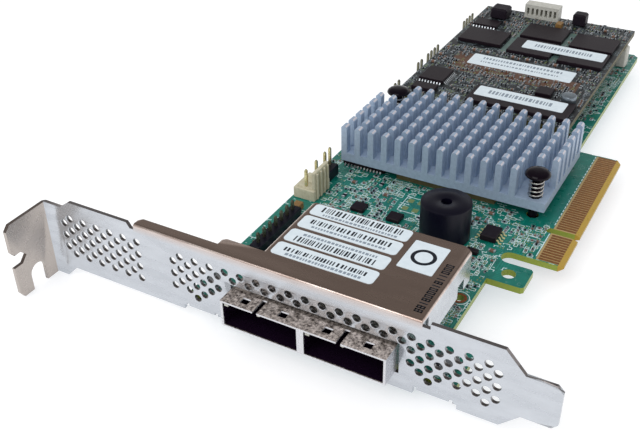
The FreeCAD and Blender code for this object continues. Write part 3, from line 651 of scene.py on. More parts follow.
def eased_faces() -> list[list[int]]:
    """List the 26 faces of a box with eased edges.

    Every corner owns three points, one moved in along each axis; faces join the
    points of the same flat side, edges join two sides and corners join three.

    Returns:
        Faces that look outward.
    """
    points = eased_points(np.zeros((1, 3)), np.ones((1, 3)) * 4, 0.5)[0]
    groups = []
    for axis in range(3):
        for side in (0, 1):
            groups.append([c * 3 + axis for c in range(8) if CORNERS[c][axis] == side])
    for first in range(3):
        for second in range(first + 1, 3):
            for a in (0, 1):
                for b in (0, 1):
                    ends = [c for c in range(8)
                            if CORNERS[c][first] == a and CORNERS[c][second] == b]
                    groups.append([c * 3 + axis for c in ends for axis in (first, second)])
    groups += [[c * 3 + axis for axis in range(3)] for c in range(8)]
    faces = []
    for group in groups:
        spots = points[group]
        middle = spots.mean(axis=0)
        outward = middle - 2.0
        outward = outward / np.linalg.norm(outward)
        across = spots[0] - middle
        across = across - outward * (across @ outward)
        across = across / np.linalg.norm(across)
        other = np.cross(outward, across)
        turn = np.arctan2((spots - middle) @ other, (spots - middle) @ across)
        faces.append([group[i] for i in np.argsort(turn)])
    return faces


def eased_points(low: Array, high: Array, ease: Any) -> Array:
    """Work out the 24 points of eased boxes.

    The point of axis k at a corner lies on that axis's flat side and is moved
    in by the ease along the other two.

    Args:
        low: N by 3 lowest corners.
        high: N by 3 highest corners.
        ease: edge width.

    Returns:
        N by 24 by 3 points.
    """
    corner = low[:, None] + (high - low)[:, None] * CORNERS[None]
    inward = (1 - 2 * CORNERS)[None, :, None, :] * (1 - np.eye(3))[None, None]
    return (corner[:, :, None] + inward * ease).reshape(len(low), 24, 3)


EASED = eased_faces()


def eased_boxes(low: Any, high: Any, ease: float) -> tuple[Array, list[list[int]]]:
    """Work out many boxes with eased edges.

    Args:
        low: lowest corners.
        high: highest corners.
        ease: edge width, mm.

    Returns:
        Points and faces.
    """
    low, high = np.atleast_2d(low).astype(float), np.atleast_2d(high).astype(float)
    points = eased_points(low, high, ease)
    faces = [[n * 24 + i for i in face] for n in range(len(low)) for face in EASED]
    return points.reshape(-1, 3), faces


def grid_faces(rows: int, columns: int, closed_rows: bool = False) -> Array:
    """Join a grid of points into four-sided faces.

    Args:
        rows: points along the first parameter.
        columns: points round the second, which always closes.
        closed_rows: whether the first parameter closes too.

    Returns:
        Faces by corner number.
    """
    i = np.arange(rows if closed_rows else rows - 1)[:, None]
    j = np.arange(columns)[None]
    ahead, beside = (i + 1) % rows, (j + 1) % columns
    return np.stack([i * columns + j, i * columns + beside,
                     ahead * columns + beside, ahead * columns + j], axis=-1).reshape(-1, 4)


def turned(profile: Sequence[tuple[float, float]], centre: Sequence[float],
           steps: int = 40) -> tuple[Array, list[list[int]]]:
    """Turn a profile about an upright axis: (r cos t, r sin t, z).

    Args:
        profile: radius and height from the bottom centre to the top centre.
        centre: axis position, datum mm.
        steps: points round the axis.

    Returns:
        Points and faces, closed at both ends.
    """
    spots = np.array(profile)
    angle = np.linspace(0, 2 * np.pi, steps, endpoint=False)
    points = np.stack([centre[0] + spots[:, :1] * np.cos(angle),
                       centre[1] + spots[:, :1] * np.sin(angle),
                       np.repeat(spots[:, 1:], steps, axis=1)], axis=-1).reshape(-1, 3)
    faces = grid_faces(len(spots), steps).tolist()
    last = (len(spots) - 1) * steps
    faces.append(list(range(steps))[::-1])
    faces.append([last + i for i in range(steps)])
    return points, faces


def joined(parts: Iterable[tuple[Array, Any]]) -> tuple[Array, list[list[int]]]:
    """Gather several meshes into one.

    Args:
        parts: points and faces of each.

    Returns:
        All points and faces.
    """
    points, faces, start = [], [], 0
    for spots, joins in parts:
        points.append(spots)
        faces += [[start + i for i in face] for face in
                  (joins.tolist() if isinstance(joins, np.ndarray) else joins)]
        start += len(spots)
    return np.concatenate(points), faces


def rounded_sheet(low: Array, high: Array, radius: float, thick: float) -> tuple[Array, Any]:
    """Work out one thin level sheet with round corners.

    The outline at angle t is the corner's centre plus radius * (cos t, sin t).

    Args:
        low: lowest corner; its third value is the underside's height.
        high: highest corner.
        radius: corner radius.
        thick: thickness.

    Returns:
        Points and faces.
    """
    quarter = np.linspace(0, np.pi / 2, 6)
    outline = []
    for number, (cx, cy) in enumerate(((high[0] - radius, high[1] - radius),
                                       (low[0] + radius, high[1] - radius),
                                       (low[0] + radius, low[1] + radius),
                                       (high[0] - radius, low[1] + radius))):
        angle = quarter + number * np.pi / 2
        outline.append(np.stack([cx + radius * np.cos(angle),
                                 cy + radius * np.sin(angle)], axis=-1))
    ring = np.concatenate(outline)
    count = len(ring)
    points = np.concatenate([np.column_stack([ring, np.full(count, low[2])]),
                             np.column_stack([ring, np.full(count, low[2] + thick)])])
    faces = grid_faces(2, count).tolist()
    faces += [list(range(count))[::-1], [count + i for i in range(count)]]
    return points, faces


def flat_ring(name: str, middle: Sequence[float], radii: tuple[float, float], thick: float,
              steps: int, finish: Finish) -> None:
    """Lay one flat ring: its section carried round (r cos t, r sin t).

    Args:
        name: the piece's name.
        middle: centre and height of its underside.
        radii: inner and outer radius.
        thick: thickness.
        steps: points round it.
        finish: its material.
    """
    inner, outer = radii
    angle = np.linspace(0, 2 * np.pi, steps, endpoint=False)
    section = np.array([(inner, 0.0), (outer, 0.0), (outer, thick), (inner, thick)])
    points = np.stack([middle[0] + section[:, :1] * np.cos(angle),
                       middle[1] + section[:, :1] * np.sin(angle),
                       middle[2] + np.repeat(section[:, 1:], steps, axis=1)], axis=-1)
    recalculated(piece(name, points.reshape(-1, 3), grid_faces(4, steps, True), finish))


def strokes(start: float, end: float, wide: Callable[[], float],
            gap: Callable[[], float]) -> list[tuple[float, float]]:
    """List the strokes of one printed row.

    Args:
        start: where the first one begins.
        end: none begins beyond this.
        wide: gives the next stroke's width.
        gap: gives the gap after it.

    Returns:
        Start and width of each.
    """
    spans = []
    while start < end:
        width = float(wide())
        spans.append((start, width))
        start += width + float(gap())
    return spans


def stroke_boxes(spans: Sequence[tuple[float, ...]]) -> tuple[Array, Array]:
    """Turn strokes into thin boxes.

    Args:
        spans: rows of start, width, lowest and highest y, lowest and highest z.

    Returns:
        Points and faces.
    """
    x, wide, front, back, base, top = np.array(spans).T
    return plain_boxes(np.column_stack([x, front, base]), np.column_stack([x + wide, back, top]))


def floor_boxes(whole: Iterable[str], parts: Iterable[str]) -> list[tuple[float, ...]]:
    """List the floor boxes that small parts stay off.

    Args:
        whole: nodes kept clear as one box.
        parts: nodes kept clear solid by solid.

    Returns:
        Rows of lowest x, lowest y, highest x, highest y.
    """
    pairs = [datum_box(node) for node in whole]
    for node in parts:
        pairs += list(zip(*solids_of(node)))
    return [(low[0], low[1], high[0], high[1]) for low, high in pairs]


def solids_of(node: str) -> tuple[Array, Array]:
    """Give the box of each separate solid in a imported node.

    Every point takes the lowest number found in its faces, over and over, until
    the points of one solid all share one number.

    Args:
        node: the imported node.

    Returns:
        Lowest and highest corners, datum mm, in the node's own order.
    """
    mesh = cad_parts[node].data
    spots = np.empty(len(mesh.vertices) * 3)
    mesh.vertices.foreach_get("co", spots)
    spots = spots.reshape(-1, 3)
    corners = np.empty(len(mesh.loops), dtype=int)
    mesh.loops.foreach_get("vertex_index", corners)
    same = np.unique(np.round(spots * 1e6), axis=0, return_inverse=True)[1].ravel()
    faces = same[corners].reshape(-1, 3)
    label = np.arange(same.max() + 1)
    while True:
        lowest = label[faces].min(axis=1)
        spread = label.copy()
        np.minimum.at(spread, faces.ravel(), np.repeat(lowest, 3))
        if (spread == label).all():
            break
        label = spread
    own = label[same]
    order = own[np.sort(np.unique(own, return_index=True)[1])]
    low = np.array([spots[own == mark].min(axis=0) for mark in order])
    high = np.array([spots[own == mark].max(axis=0) for mark in order])
    return low / MM + DATUM, high / MM + DATUM


def lead_profile(length: float, high: float, thick: float) -> Array:
    """Draw the side view of one bent lead: foot, sloped leg, short shoulder.

    Args:
        length: from the foot's tip to the body.
        high: height of the shoulder.
        thick: sheet thickness.

    Returns:
        Closed outline, distance from the body and height.
    """
    foot, leg = 0.45 * length, 0.72 * length
    top = [(0.0, high), (length - leg, high), (length - foot, thick), (length, thick)]
    low = [(length, 0.0), (length - foot - 0.06, 0.0), (length - leg - 0.06, high - thick),
           (0.0, high - thick)]
    return np.array(top + low)


def leads(low: Array, high: Array, side: Side, thick: float = 0.13) -> tuple[Array, Any]:
    """Carry the lead's side view across each lead's width.

    Args:
        low: lowest corners of the blocks that hold the leads, datum mm.
        high: highest corners.
        side: the way they leave the body.
        thick: sheet thickness.

    Returns:
        Points and faces.
    """
    low, high = np.atleast_2d(low), np.atleast_2d(high)
    along = 0 if side in (Side.LEFT, Side.RIGHT) else 1
    across = 1 - along
    outward = 1.0 if side in (Side.RIGHT, Side.BACK) else -1.0
    length = float((high - low)[0, along])
    rise = float((high - low)[0, 2])
    shape = lead_profile(length, rise, thick)
    count, total = len(low), len(shape)
    points = np.zeros((count, 2, total, 3))
    root = low[:, along] if outward > 0 else high[:, along]
    points[..., along] = root[:, None, None] + outward * shape[None, None, :, 0]
    points[..., 2] = low[:, 2][:, None, None] + shape[None, None, :, 1]
    points[:, 0, :, across] = low[:, across][:, None]
    points[:, 1, :, across] = high[:, across][:, None]
    ring = [[i, (i + 1) % total, total + (i + 1) % total, total + i] for i in range(total)]
    caps = [[0, 7, 6, 1], [1, 6, 5, 2], [2, 5, 4, 3]]
    ends = caps + [[total + i for i in face[::-1]] for face in caps]
    faces = []
    flip = (outward > 0) == (along == 0)
    for number in range(count):
        start = number * total * 2
        for face in ring + ends:
            spots = [start + i for i in face]
            faces.append(spots if flip else spots[::-1])
    return points.reshape(-1, 3), faces


def bent_rows(node: str, finish: Finish, *rows: tuple[Any, Side]) -> None:
    """Show bent leads in place of a node's blocks.

    Args:
        node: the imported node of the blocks.
        finish: their material.
        rows: which blocks, and the way they leave the body.
    """
    low, high = solids_of(node)
    meshes = [leads(low[chosen], high[chosen], side) for chosen, side in rows]
    name = node.replace("leads", "lead_rows")
    stand_for(recalculated(piece(name, *joined(meshes), finish)), node)


def recalculated(thing: Any) -> Any:
    """Turn every face of a closed piece outward."""
    work = bmesh.new()
    work.from_mesh(thing.data)
    bmesh.ops.recalc_face_normals(work, faces=work.faces)
    work.to_mesh(thing.data)
    work.free()
    return thing


def dress(node: str, finish: Finish) -> None:
    """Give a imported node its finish."""
    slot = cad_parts[node].material_slots[0]
    slot.link = "OBJECT"
    slot.material = FINISHES.get(finish)


def stand_for(thing: Any, *nodes: str) -> Any:
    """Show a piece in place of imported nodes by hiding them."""
    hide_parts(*nodes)
    return thing


# ---- sub-assemblies ---------------------------------------------------------


@dataclass
class Bracket:
    """Slot bracket, its screws, and the labels stuck on its hood."""

    paper: float = 0.1
    print_film: float = 0.008
    corner: float = 0.9
    square_corner: float = 0.3
    strip_least: float = 15.0
    ring_radii: tuple[float, float] = (1.85, 2.65)
    sheet: float = 0.86
    vent: float = 0.85
    rim: float = 1.03
    vent_most: float = 2.2

    def build(self) -> None:
        """Punch round vents in the folded sheet and lay the labels."""
        blank, centres = self.blank_sheet()
        self.cut_vents(blank, centres)
        dress("bracket_screws", BRIGHT_ZINC)
        self.labels()

    def wall_groups(self, work: Any) -> Iterable[list[Any]]:
        """Gather the faces that stand through the sheet, one hole at a time.

        Args:
            work: the sheet as an editable mesh.

        Yields:
            The wall faces of one hole.
        """
        back = self.sheet + 0.01
        walls = {face for face in work.faces if abs(face.normal.y) < 0.1 and all(
            -0.01 < vert.co.y / MM + DATUM[1] < back for vert in face.verts)}
        while walls:
            group, waiting = [], [walls.pop()]
            while waiting:
                face = waiting.pop()
                group.append(face)
                beside = {other for edge in face.edges for other in edge.link_faces}
                waiting += beside & walls
                walls -= beside
            yield group

    def blank_sheet(self) -> tuple[Any, Array]:
        """Copy the folded sheet and close its six-sided vents.

        Returns:
            The copy, and the vents' centres in datum mm, sorted so that every run
            cuts them in the same order.
        """
        work = bmesh.new()
        work.from_mesh(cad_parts["slot_bracket"].data)
        bmesh.ops.remove_doubles(work, verts=work.verts, dist=1e-7)
        centres, vents = [], []
        for group in self.wall_groups(work):
            spots = np.array([vert.co for face in group for vert in face.verts]) / MM + DATUM
            size = spots.max(axis=0) - spots.min(axis=0)
            if max(size[0], size[2]) < self.vent_most:
                vents += group
                centres.append((spots.max(axis=0) + spots.min(axis=0)) / 2)
        bmesh.ops.delete(work, geom=vents, context="FACES")
        bmesh.ops.holes_fill(work, edges=[e for e in work.edges if e.is_boundary], sides=0)
        bmesh.ops.recalc_face_normals(work, faces=work.faces)
        mesh = bpy.data.meshes.new("folded_sheet_blank")
        work.to_mesh(mesh)
        work.free()
        return linked("folded_sheet_blank", mesh), np.array(sorted(centres, key=tuple))

    def cut_vents(self, blank: Any, centres: Array) -> None:
        """Cut round vents with rolled rims and show the sheet.

        Args:
            blank: the closed sheet.
            centres: vent centres, datum mm.
        """
        punch = linked("vent_punch", self.punch(centres))
        cutter = blank.modifiers.new("vents", "BOOLEAN")
        cutter.operation, cutter.solver, cutter.object = "DIFFERENCE", "EXACT", punch
        shown = blank.evaluated_get(bpy.context.evaluated_depsgraph_get())
        mesh = bpy.data.meshes.new_from_object(shown)
        for thing in (blank, punch):
            bpy.data.objects.remove(thing)
        bracket = linked("folded_bracket_sheet", mesh)
        mesh.materials.clear()
        mesh.materials.append(FINISHES.get(NICKEL_SHEET))
        mesh.polygons.foreach_set("use_smooth", [True] * len(mesh.polygons))
        sharpen(bracket, 35)
        even = bracket.modifiers.new("even_normals", "WEIGHTED_NORMAL")
        even.keep_sharp = True
        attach(bracket, "root")
        stand_for(bracket, "slot_bracket")

    def punch(self, centres: Array) -> Any:
        """Work out the punch: one turned plug for each vent.

        A plug's point is centre + (r cos t, y, r sin t), where the radius r grows
        from the vent's to the rim's in a quarter round at both faces of the sheet.

        Args:
            centres: vent centres, datum mm.

        Returns:
            One mesh with every plug.
        """
        steps = 20
        roll = self.rim - self.vent
        quarter = np.linspace(0, np.pi / 2, 4)
        wide = self.rim - roll * np.sin(quarter)
        deep = roll * (1 - np.cos(quarter))
        front = np.column_stack([deep, wide])
        back = np.column_stack([self.sheet - deep, wide])[::-1]
        profile = np.concatenate([[(-0.2, self.rim + 0.05)], front, back,
                                  [(self.sheet + 0.2, self.rim + 0.05)]])
        angle = np.linspace(0, 2 * np.pi, steps, endpoint=False)
        radius = profile[None, :, 1, None]
        ones = np.ones((len(centres), 1, steps))
        points = np.stack([centres[:, 0, None, None] + radius * np.cos(angle),
                           profile[None, :, 0, None] * ones,
                           centres[:, 2, None, None] + radius * np.sin(angle)], axis=-1)
        one = grid_faces(len(profile), steps).tolist()
        last = (len(profile) - 1) * steps
        one += [list(range(steps))[::-1], [last + i for i in range(steps)]]
        total = len(profile) * steps
        faces = [[n * total + i for i in face] for n in range(len(centres)) for face in one]
        mesh = bpy.data.meshes.new("vent_punch")
        mesh.from_pydata(row(points).reshape(-1, 3).tolist(), [], faces)
        work = bmesh.new()
        work.from_mesh(mesh)
        bmesh.ops.recalc_face_normals(work, faces=work.faces)
        work.to_mesh(mesh)
        work.free()
        return mesh

    def labels(self) -> None:
        """Lay four strips and a square, then their plain bars and dashes."""
        low, high = solids_of("hood_labels")
        long = high[:, 0] - low[:, 0] > self.strip_least
        sheets = [rounded_sheet(a, b, self.corner if strip else self.square_corner, self.paper)
                  for a, b, strip in zip(low, high, long)]
        stand_for(piece("hood_label_paper", *joined(sheets), LABEL_PAPER), "hood_labels")
        random = np.random.default_rng(7)
        top = low[0, 2] + self.paper
        film = (top, top + self.print_film)
        dark, pale = [], []
        strips = sorted(zip(low[long].tolist(), high[long].tolist()), key=lambda p: p[0][1])
        plans = (((0.42, 0.72), (0.12, 0.30)), ((0.12, 0.52), (0.66, 0.82)),
                 ((0.44, 0.78), (0.16, 0.30)), ((0.40, 0.86), (0.10, 0.26)))
        for (start, end), (bars, words) in zip(strips, plans):
            row_of = [(start[1] + low_part * (end[1] - start[1]),
                       start[1] + high_part * (end[1] - start[1]))
                      for low_part, high_part in (bars, words)]
            dark += [(x, wide, *row_of[0], *film) for x, wide in strokes(
                start[0] + 2.2, end[0] - 2.2, lambda: random.choice([0.18, 0.3, 0.45]),
                lambda: random.choice([0.22, 0.34, 0.55]))]
            pale += [(x, wide, *row_of[1], *film) for x, wide in strokes(
                start[0] + 3.2, end[0] - 3, lambda: random.uniform(0.3, 0.8), lambda: 0.25)]
        piece("hood_label_bars", *stroke_boxes(dark), LABEL_INK)
        piece("hood_label_dashes", *stroke_boxes(pale), PALE_INK)
        middle = (low[~long][0] + high[~long][0]) / 2
        flat_ring("hood_label_ring", (middle[0], middle[1], top), self.ring_radii,
                  self.print_film, 48, LABEL_INK)
        self.stamped_row(low[0, 2])

    def stamped_row(self, base: float) -> None:
        """Print a row of plain strokes and hollow boxes along the hood's right side.

        Args:
            base: height of the hood's top.
        """
        pen, wide, near, far = 0.3, 0.9, 90.45, 92.15
        first, pitch, count = 2.1, 1.17, 14
        random = np.random.default_rng(5)
        low, high = [], []
        for start in first + pitch * np.arange(count):
            shape = int(random.integers(3))
            end = start + wide
            middle = (start + end - pen) / 2
            if shape == 0:
                bars = [(near, middle, far, middle + pen)]
            else:
                bars = [(near, start, near + pen, end), (far - pen, start, far, end),
                        (near, start, far, start + pen), (near, end - pen, far, end)]
            if shape == 2:
                bars.append(((near + far - pen) / 2, start, (near + far + pen) / 2, end))
            low += [(bar[0], bar[1], base) for bar in bars]
            high += [(bar[2], bar[3], base + self.print_film) for bar in bars]
        piece("hood_print_row", *plain_boxes(np.array(low), np.array(high)), LABEL_INK)


@dataclass
class Ports:
    """Twin cage with its inserts and pale latch tongues."""

    openings: tuple[float, float] = (51.9, 70.7)
    wide: float = 17.2

    def build(self) -> None:
        """Dress the cage and inserts and add the latch tongues."""
        for node, finish in (("port_shell", CAGE_NICKEL), ("port_insert_left", BLACK_NYLON),
                             ("port_insert_right", BLACK_NYLON)):
            dress(node, finish)
        low, high = [], []
        for left in self.openings:
            low += [(left + 0.15, -4.4, 5.75), (left + self.wide / 2 - 0.5, -4.6, 6.25)]
            high += [(left + 1.15, -3.7, 6.35), (left + self.wide / 2 + 0.2, -4.1, 6.68)]
        piece("latch_tongues", *eased_boxes(low, high, 0.08), WHITE_NYLON)


@dataclass
class Crowd:
    """Small parts scattered over a field of a board in rows and columns."""

    name: str
    level: float
    fields: tuple[tuple[float, float, float, float], ...]
    keep_out: list[tuple[float, ...]]
    seed: int
    step: tuple[float, float] = (1.35, 1.15)
    share: float = 0.8
    filled: float = 0.34
    brown: float = 0.45
    outlined: float = 0.62
    marked: float = 0.3
    framed: float = 0.035
    land: Finish = LAND
    silk: Finish = SILK
    body: Finish = CERAMIC
    ceiling: float = 0.5
    half_part: tuple[float, float] = (0.5, 0.26)
    half_end: tuple[float, float] = (0.13, 0.25)
    end_shift: tuple[float, float] = (0.38, 0.0)
    clear: float = 0.75
    block: float = 5.2
    pen: float = 0.075

    def spots(self) -> Array:
        """Pick the places: a jittered grid without the kept-out boxes.

        Returns:
            Rows of x, y, quarter turn, chance.
        """
        random = np.random.default_rng(self.seed)
        kept = []
        for x0, y0, x1, y1 in self.fields:
            gx, gy = np.meshgrid(np.arange(x0, x1, self.step[0]),
                                 np.arange(y0, y1, self.step[1]))
            grid = np.stack([gx.ravel(), gy.ravel()], axis=-1)
            grid = grid + random.uniform(-0.14, 0.14, grid.shape)
            grid = grid[random.random(len(grid)) < self.share]
            block = np.floor(grid / self.block)
            turn = ((block[:, 0] * 7 + block[:, 1] * 13) % 3 == 0).astype(float)
            kept.append(np.column_stack([grid, turn, random.random(len(grid))]))
        spots = np.concatenate(kept)
        for x0, y0, x1, y1 in self.keep_out:
            hit = ((spots[:, 0] > x0 - self.clear) & (spots[:, 0] < x1 + self.clear)
                   & (spots[:, 1] > y0 - self.clear) & (spots[:, 1] < y1 + self.clear))
            spots = spots[~hit]
        return spots

    def build(self) -> None:
        """Lay parts on some places, bare lands on others, and print round both."""
        spots = self.spots()
        turned_over = spots[:, 2:3] > 0.5
        half, end, shift = (np.where(turned_over, [pair[::-1]], [pair]) for pair in
                            (self.half_part, self.half_end, self.end_shift))
        centre, chance = spots[:, :2], spots[:, 3]
        filled = chance < self.filled
        brown = filled & (chance < self.filled * self.brown)
        high = np.minimum(self.ceiling, 0.3 + 0.2 * (np.sin(centre[:, 0] * 7) > 0.3))
        base = np.full((len(spots), 1), self.level)
        for chosen, finish, label in ((brown, self.body, "brown"),
                                      (filled & ~brown, RESISTOR, "dark")):
            low = np.column_stack([centre - half * 0.85, base])[chosen]
            top = np.column_stack([centre + half * 0.85, base[:, 0] + high - 0.02])[chosen]
            piece(f"{self.name}_{label}", *plain_boxes(low, top), finish)
        for chosen, lift, finish, label in ((filled, high, SOLDER, "ends"),
                                            (~filled, high * 0 + 0.02, self.land, "lands")):
            low = np.concatenate([np.column_stack([centre + side * shift - end, base])[chosen]
                                  for side in (-1, 1)])
            top = np.concatenate([np.column_stack([centre + side * shift + end,
                                                   base[:, 0] + lift])[chosen]
                                  for side in (-1, 1)])
            piece(f"{self.name}_{label}", *plain_boxes(low, top), finish)
        self.print_round(centre, half)

    def print_round(self, centre: Array, half: Array) -> None:
        """Print outlines, part marks and larger frames.

        An outline is four thin bars at the part's half size plus a gap; a mark is a
        row of short strokes; a frame is four long bars round a group of parts.

        Args:
            centre: part centres.
            half: half sizes of the parts.
        """
        random = np.random.default_rng(self.seed + 1)
        pen, bars = self.pen, []
        reach = half + 0.14
        chosen = random.random(len(centre)) < self.outlined
        for axis in (0, 1):
            for side in (-1.0, 1.0):
                middle = centre[chosen].copy()
                middle[:, axis] += side * reach[chosen][:, axis]
                size = reach[chosen].copy()
                size[:, axis] = pen
                bars.append(np.column_stack([middle - size, middle + size]))
        marked = centre[random.random(len(centre)) < self.marked]
        for step in range(3):
            middle = marked + [(step - 1) * 0.34, 0.62]
            tall = random.uniform(0.12, 0.3, len(marked))
            size = np.column_stack([np.full(len(marked), pen), tall])
            bars.append(np.column_stack([middle - size, middle + size]))
        corner = centre[random.random(len(centre)) < self.framed]
        far = corner + random.uniform(2.2, 5.4, corner.shape)
        for low, high in ((corner, np.column_stack([far[:, 0], corner[:, 1]])),
                          (np.column_stack([corner[:, 0], far[:, 1]]), far),
                          (corner, np.column_stack([corner[:, 0], far[:, 1]])),
                          (np.column_stack([far[:, 0], corner[:, 1]]), far)):
            bars.append(np.column_stack([low - pen, high + pen]))
        bars = np.concatenate(bars)
        bars = bars[self.allowed(bars)]
        count = len(bars)
        piece(f"{self.name}_print",
              *plain_boxes(np.column_stack([bars[:, :2], np.full(count, self.level)]),
                           np.column_stack([bars[:, 2:], np.full(count, self.level + 0.015)])),
              self.silk)

    def allowed(self, bars: Array) -> Array:
        """Tell which bars stay inside one field and off every kept-out box.

        Args:
            bars: rows of lowest x, lowest y, highest x, highest y.

        Returns:
            One truth value a bar.
        """
        inside = np.zeros(len(bars), dtype=bool)
        for x0, y0, x1, y1 in self.fields:
            inside |= ((bars[:, 0] > x0 - 0.7) & (bars[:, 1] > y0 - 0.7)
                       & (bars[:, 2] < x1 + 0.7) & (bars[:, 3] < y1 + 0.7))
        for x0, y0, x1, y1 in self.keep_out:
            inside &= ~((bars[:, 2] > x0) & (bars[:, 0] < x1)
                        & (bars[:, 3] > y0) & (bars[:, 1] < y1))
        return inside


@dataclass
class ChipPart:
    """A small two-ended part dressed with a body and tinned ends."""

    node: str
    body: Finish

    def build(self) -> None:
        """Replace each block by a narrower body between two tinned ends."""
        low, high = solids_of(self.node)
        size = high - low
        along = np.where(size[:, 0] > size[:, 1], 0, 1)
        middle_low, middle_high = low.copy(), high.copy()
        ends_low, ends_high = [], []
        index = np.arange(len(low))
        cap = size[index, along] * 0.22
        middle_low[index, along] += cap * 0.9
        middle_high[index, along] -= cap * 0.9
        middle_high[:, 2] -= 0.04
        for side in (0, 1):
            a, b = low.copy(), high.copy()
            if side:
                a[index, along] = high[index, along] - cap
            else:
                b[index, along] = low[index, along] + cap
            ends_low.append(a)
            ends_high.append(b)
        body = piece(f"{self.node}_bodies", *eased_boxes(middle_low, middle_high, 0.04),
                     self.body)
        stand_for(body, self.node)
        piece(f"{self.node}_ends", *eased_boxes(np.concatenate(ends_low),
                                                np.concatenate(ends_high), 0.05), SOLDER)


@dataclass
class Moulded:
    """A moulded package: two drafted halves that meet at a parting line."""

    node: str
    finish: Finish = EPOXY_BLACK
    ease: float = 0.12

    def build(self) -> None:
        """Replace the block by one with eased edges and drafted sides."""
        low, high = datum_box(self.node)
        points, faces = eased_boxes([low], [high], self.ease)
        middle = (low + high) / 2
        rise = np.abs(points[:, 2] - middle[2]) / max(high[2] - middle[2], 1e-6)
        draft = 0.1 * rise * (high[2] - low[2])
        for axis in (0, 1):
            points[:, axis] -= np.sign(points[:, axis] - middle[axis]) * draft
        stand_for(piece(f"{self.node}_moulding", points, faces, self.finish), self.node)


@dataclass
class MainBoard:
    """The main board with its fingers, chips, headers and crowd of small parts."""

    fields: tuple[tuple[float, float, float, float], ...] = (
        (46.2, 20.8, 93.0, 64.0), (46.5, 3.5, 50.6, 20), (93.4, 48.6, 99.6, 62),
        (39.6, 63.5, 42.8, 97),
        (88.8, 14.5, 92.6, 27), (42, 95, 94, 111.5), (42, 118.5, 94, 168.6),
        (39.4, 104.8, 42.6, 115), (39.4, 120.8, 42.6, 122.4), (39.4, 133.4, 42.6, 151.8),
    )

    def build(self) -> None:
        """Dress the board and build what stands on it."""
        for node, finish in (("main_board", GREEN_MASK), ("edge_contacts", FINGER_GOLD),
                             ("controller_package", PACKAGE_LAMINATE),
                             ("controller_die", SILICON), ("thermal_pad", GAP_PAD)):
            dress(node, finish)
        for node in ("flash_chip", "boot_chip", "regulator_left", "regulator_right",
                     "small_transistor"):
            Moulded(node).build()
        Moulded("tantalum_main", TANTALUM, 0.15).build()
        self.lead_rows()
        self.buzzer()
        self.headers()
        self.under_fingers()
        self.ring_and_pads()
        ChipPart("board_passives_brown", CERAMIC).build()
        ChipPart("board_passives_dark", RESISTOR).build()
        Crowd("main_small", 0.0, self.fields, self.keep_out(), 3).build()

    def keep_out(self) -> list[tuple[float, ...]]:
        """List the floor boxes that small parts stay off."""
        boxes = floor_boxes(
            ("flash_chip", "flash_leads", "boot_chip", "boot_leads", "regulator_left",
             "regulator_right", "small_transistor", "buzzer", "fan_header",
             "sensor_header", "led_header", "led_header_pins", "tantalum_main",
             "rear_spacer", "board_socket", "controller_package", "port_shell"),
            ("edge_header", "front_spacers", "push_pins", "bracket_screws",
             "board_passives_brown", "board_passives_dark"))
        return boxes + [(88.6, 25.2, 92.4, 28.8), (64, 51.5, 70.5, 58.5), (93, 40, 96, 50)]

    def lead_rows(self) -> None:
        """Bend the solder leads of the flash and boot chips."""
        bent_rows("flash_leads", TINNED, (slice(None), Side.FRONT))
        left = solids_of("boot_leads")[0][:, 0] < 86
        bent_rows("boot_leads", LEAD_FLASH, (left, Side.LEFT), (~left, Side.RIGHT))

    def buzzer(self) -> None:
        """Turn the buzzer: a drum with a rim and a sound hole."""
        profile = [(5.7, 0.0), (5.93, 0.25), (5.93, 9.25), (5.87, 9.4), (5.74, 9.46),
                   (5.1, 9.46), (5.05, 9.5), (1.42, 9.5), (1.3, 9.4), (1.3, 4.5), (0.02, 4.5)]
        drum = piece("buzzer_drum", *turned(profile, (78.7, 47), 64), BLACK_NYLON, True)
        stand_for(drum, "buzzer")
        sharpen(drum)

    def headers(self) -> None:
        """Ease the header mouldings and point their posts."""
        for node, finish in (("fan_header", CREAM_NYLON), ("sensor_header", BLACK_NYLON),
                             ("led_header", BLACK_NYLON), ("edge_header", BLACK_NYLON)):
            if node == "fan_header":
                low = np.array([(38.9, 45, 0), (43.9, 45.5, 2.9)])
                high = np.array([(44.9, 53, 3), (44.9, 52.5, 8)])
            else:
                low, high = solids_of(node)
            stand_for(piece(f"{node}_moulding", *eased_boxes(low, high, 0.18), finish), node)
        for node in ("fan_header_pins", "sensor_header_pins", "edge_header_pins",
                     "led_header_pins"):
            low, high = solids_of(node)
            tall = (high - low)[:, 2] > 1
            parts = [self.posts(low[tall], high[tall])]
            if (~tall).any():
                parts.append(eased_boxes(low[~tall], high[~tall], 0.05))
            wear_and_highlight = node in ("edge_header_pins", "led_header_pins")
            stand_for(piece(f"{node}_posts", *joined(parts), POST_DULL if wear_and_highlight else POST_GOLD),
                      node)
        start = np.array([(44.88, 46.0 + 1.75 * n, 0.4) for n in range(4)])
        piece("fan_header_ribs", *eased_boxes(start, start + (0.5, 0.6, 7.2), 0.12), CREAM_NYLON)
        start = np.array([(39.6, 45.7 + 2.54 * n, 2.9) for n in range(3)])
        piece("fan_header_steps", *eased_boxes(start, start + (4.3, 1.1, 0.35), 0.1),
              CREAM_NYLON)

    def posts(self, low: Array, high: Array) -> tuple[Array, Any]:
        """Work out square posts whose tips narrow over the last 0.4 mm."""
        ring = np.array([(0, 0), (1, 0), (1, 1), (0, 1)], dtype=float)
        size = high - low
        levels = [(0.0, low[:, 2]), (0.0, high[:, 2] - 0.4), (0.16, high[:, 2])]
        points = []
        for inset, height in levels:
            flat = low[:, None, :2] + inset + (size[:, None, :2] - 2 * inset) * ring[None]
            points.append(np.concatenate([flat, np.repeat(height[:, None, None], 4, 1)], -1))
        points = np.stack(points, axis=1)
        one = grid_faces(3, 4).tolist() + [[3, 2, 1, 0], [8, 9, 10, 11]]
        faces = [[n * 12 + i for i in face] for n in range(len(low)) for face in one]
        return points.reshape(-1, 3), faces

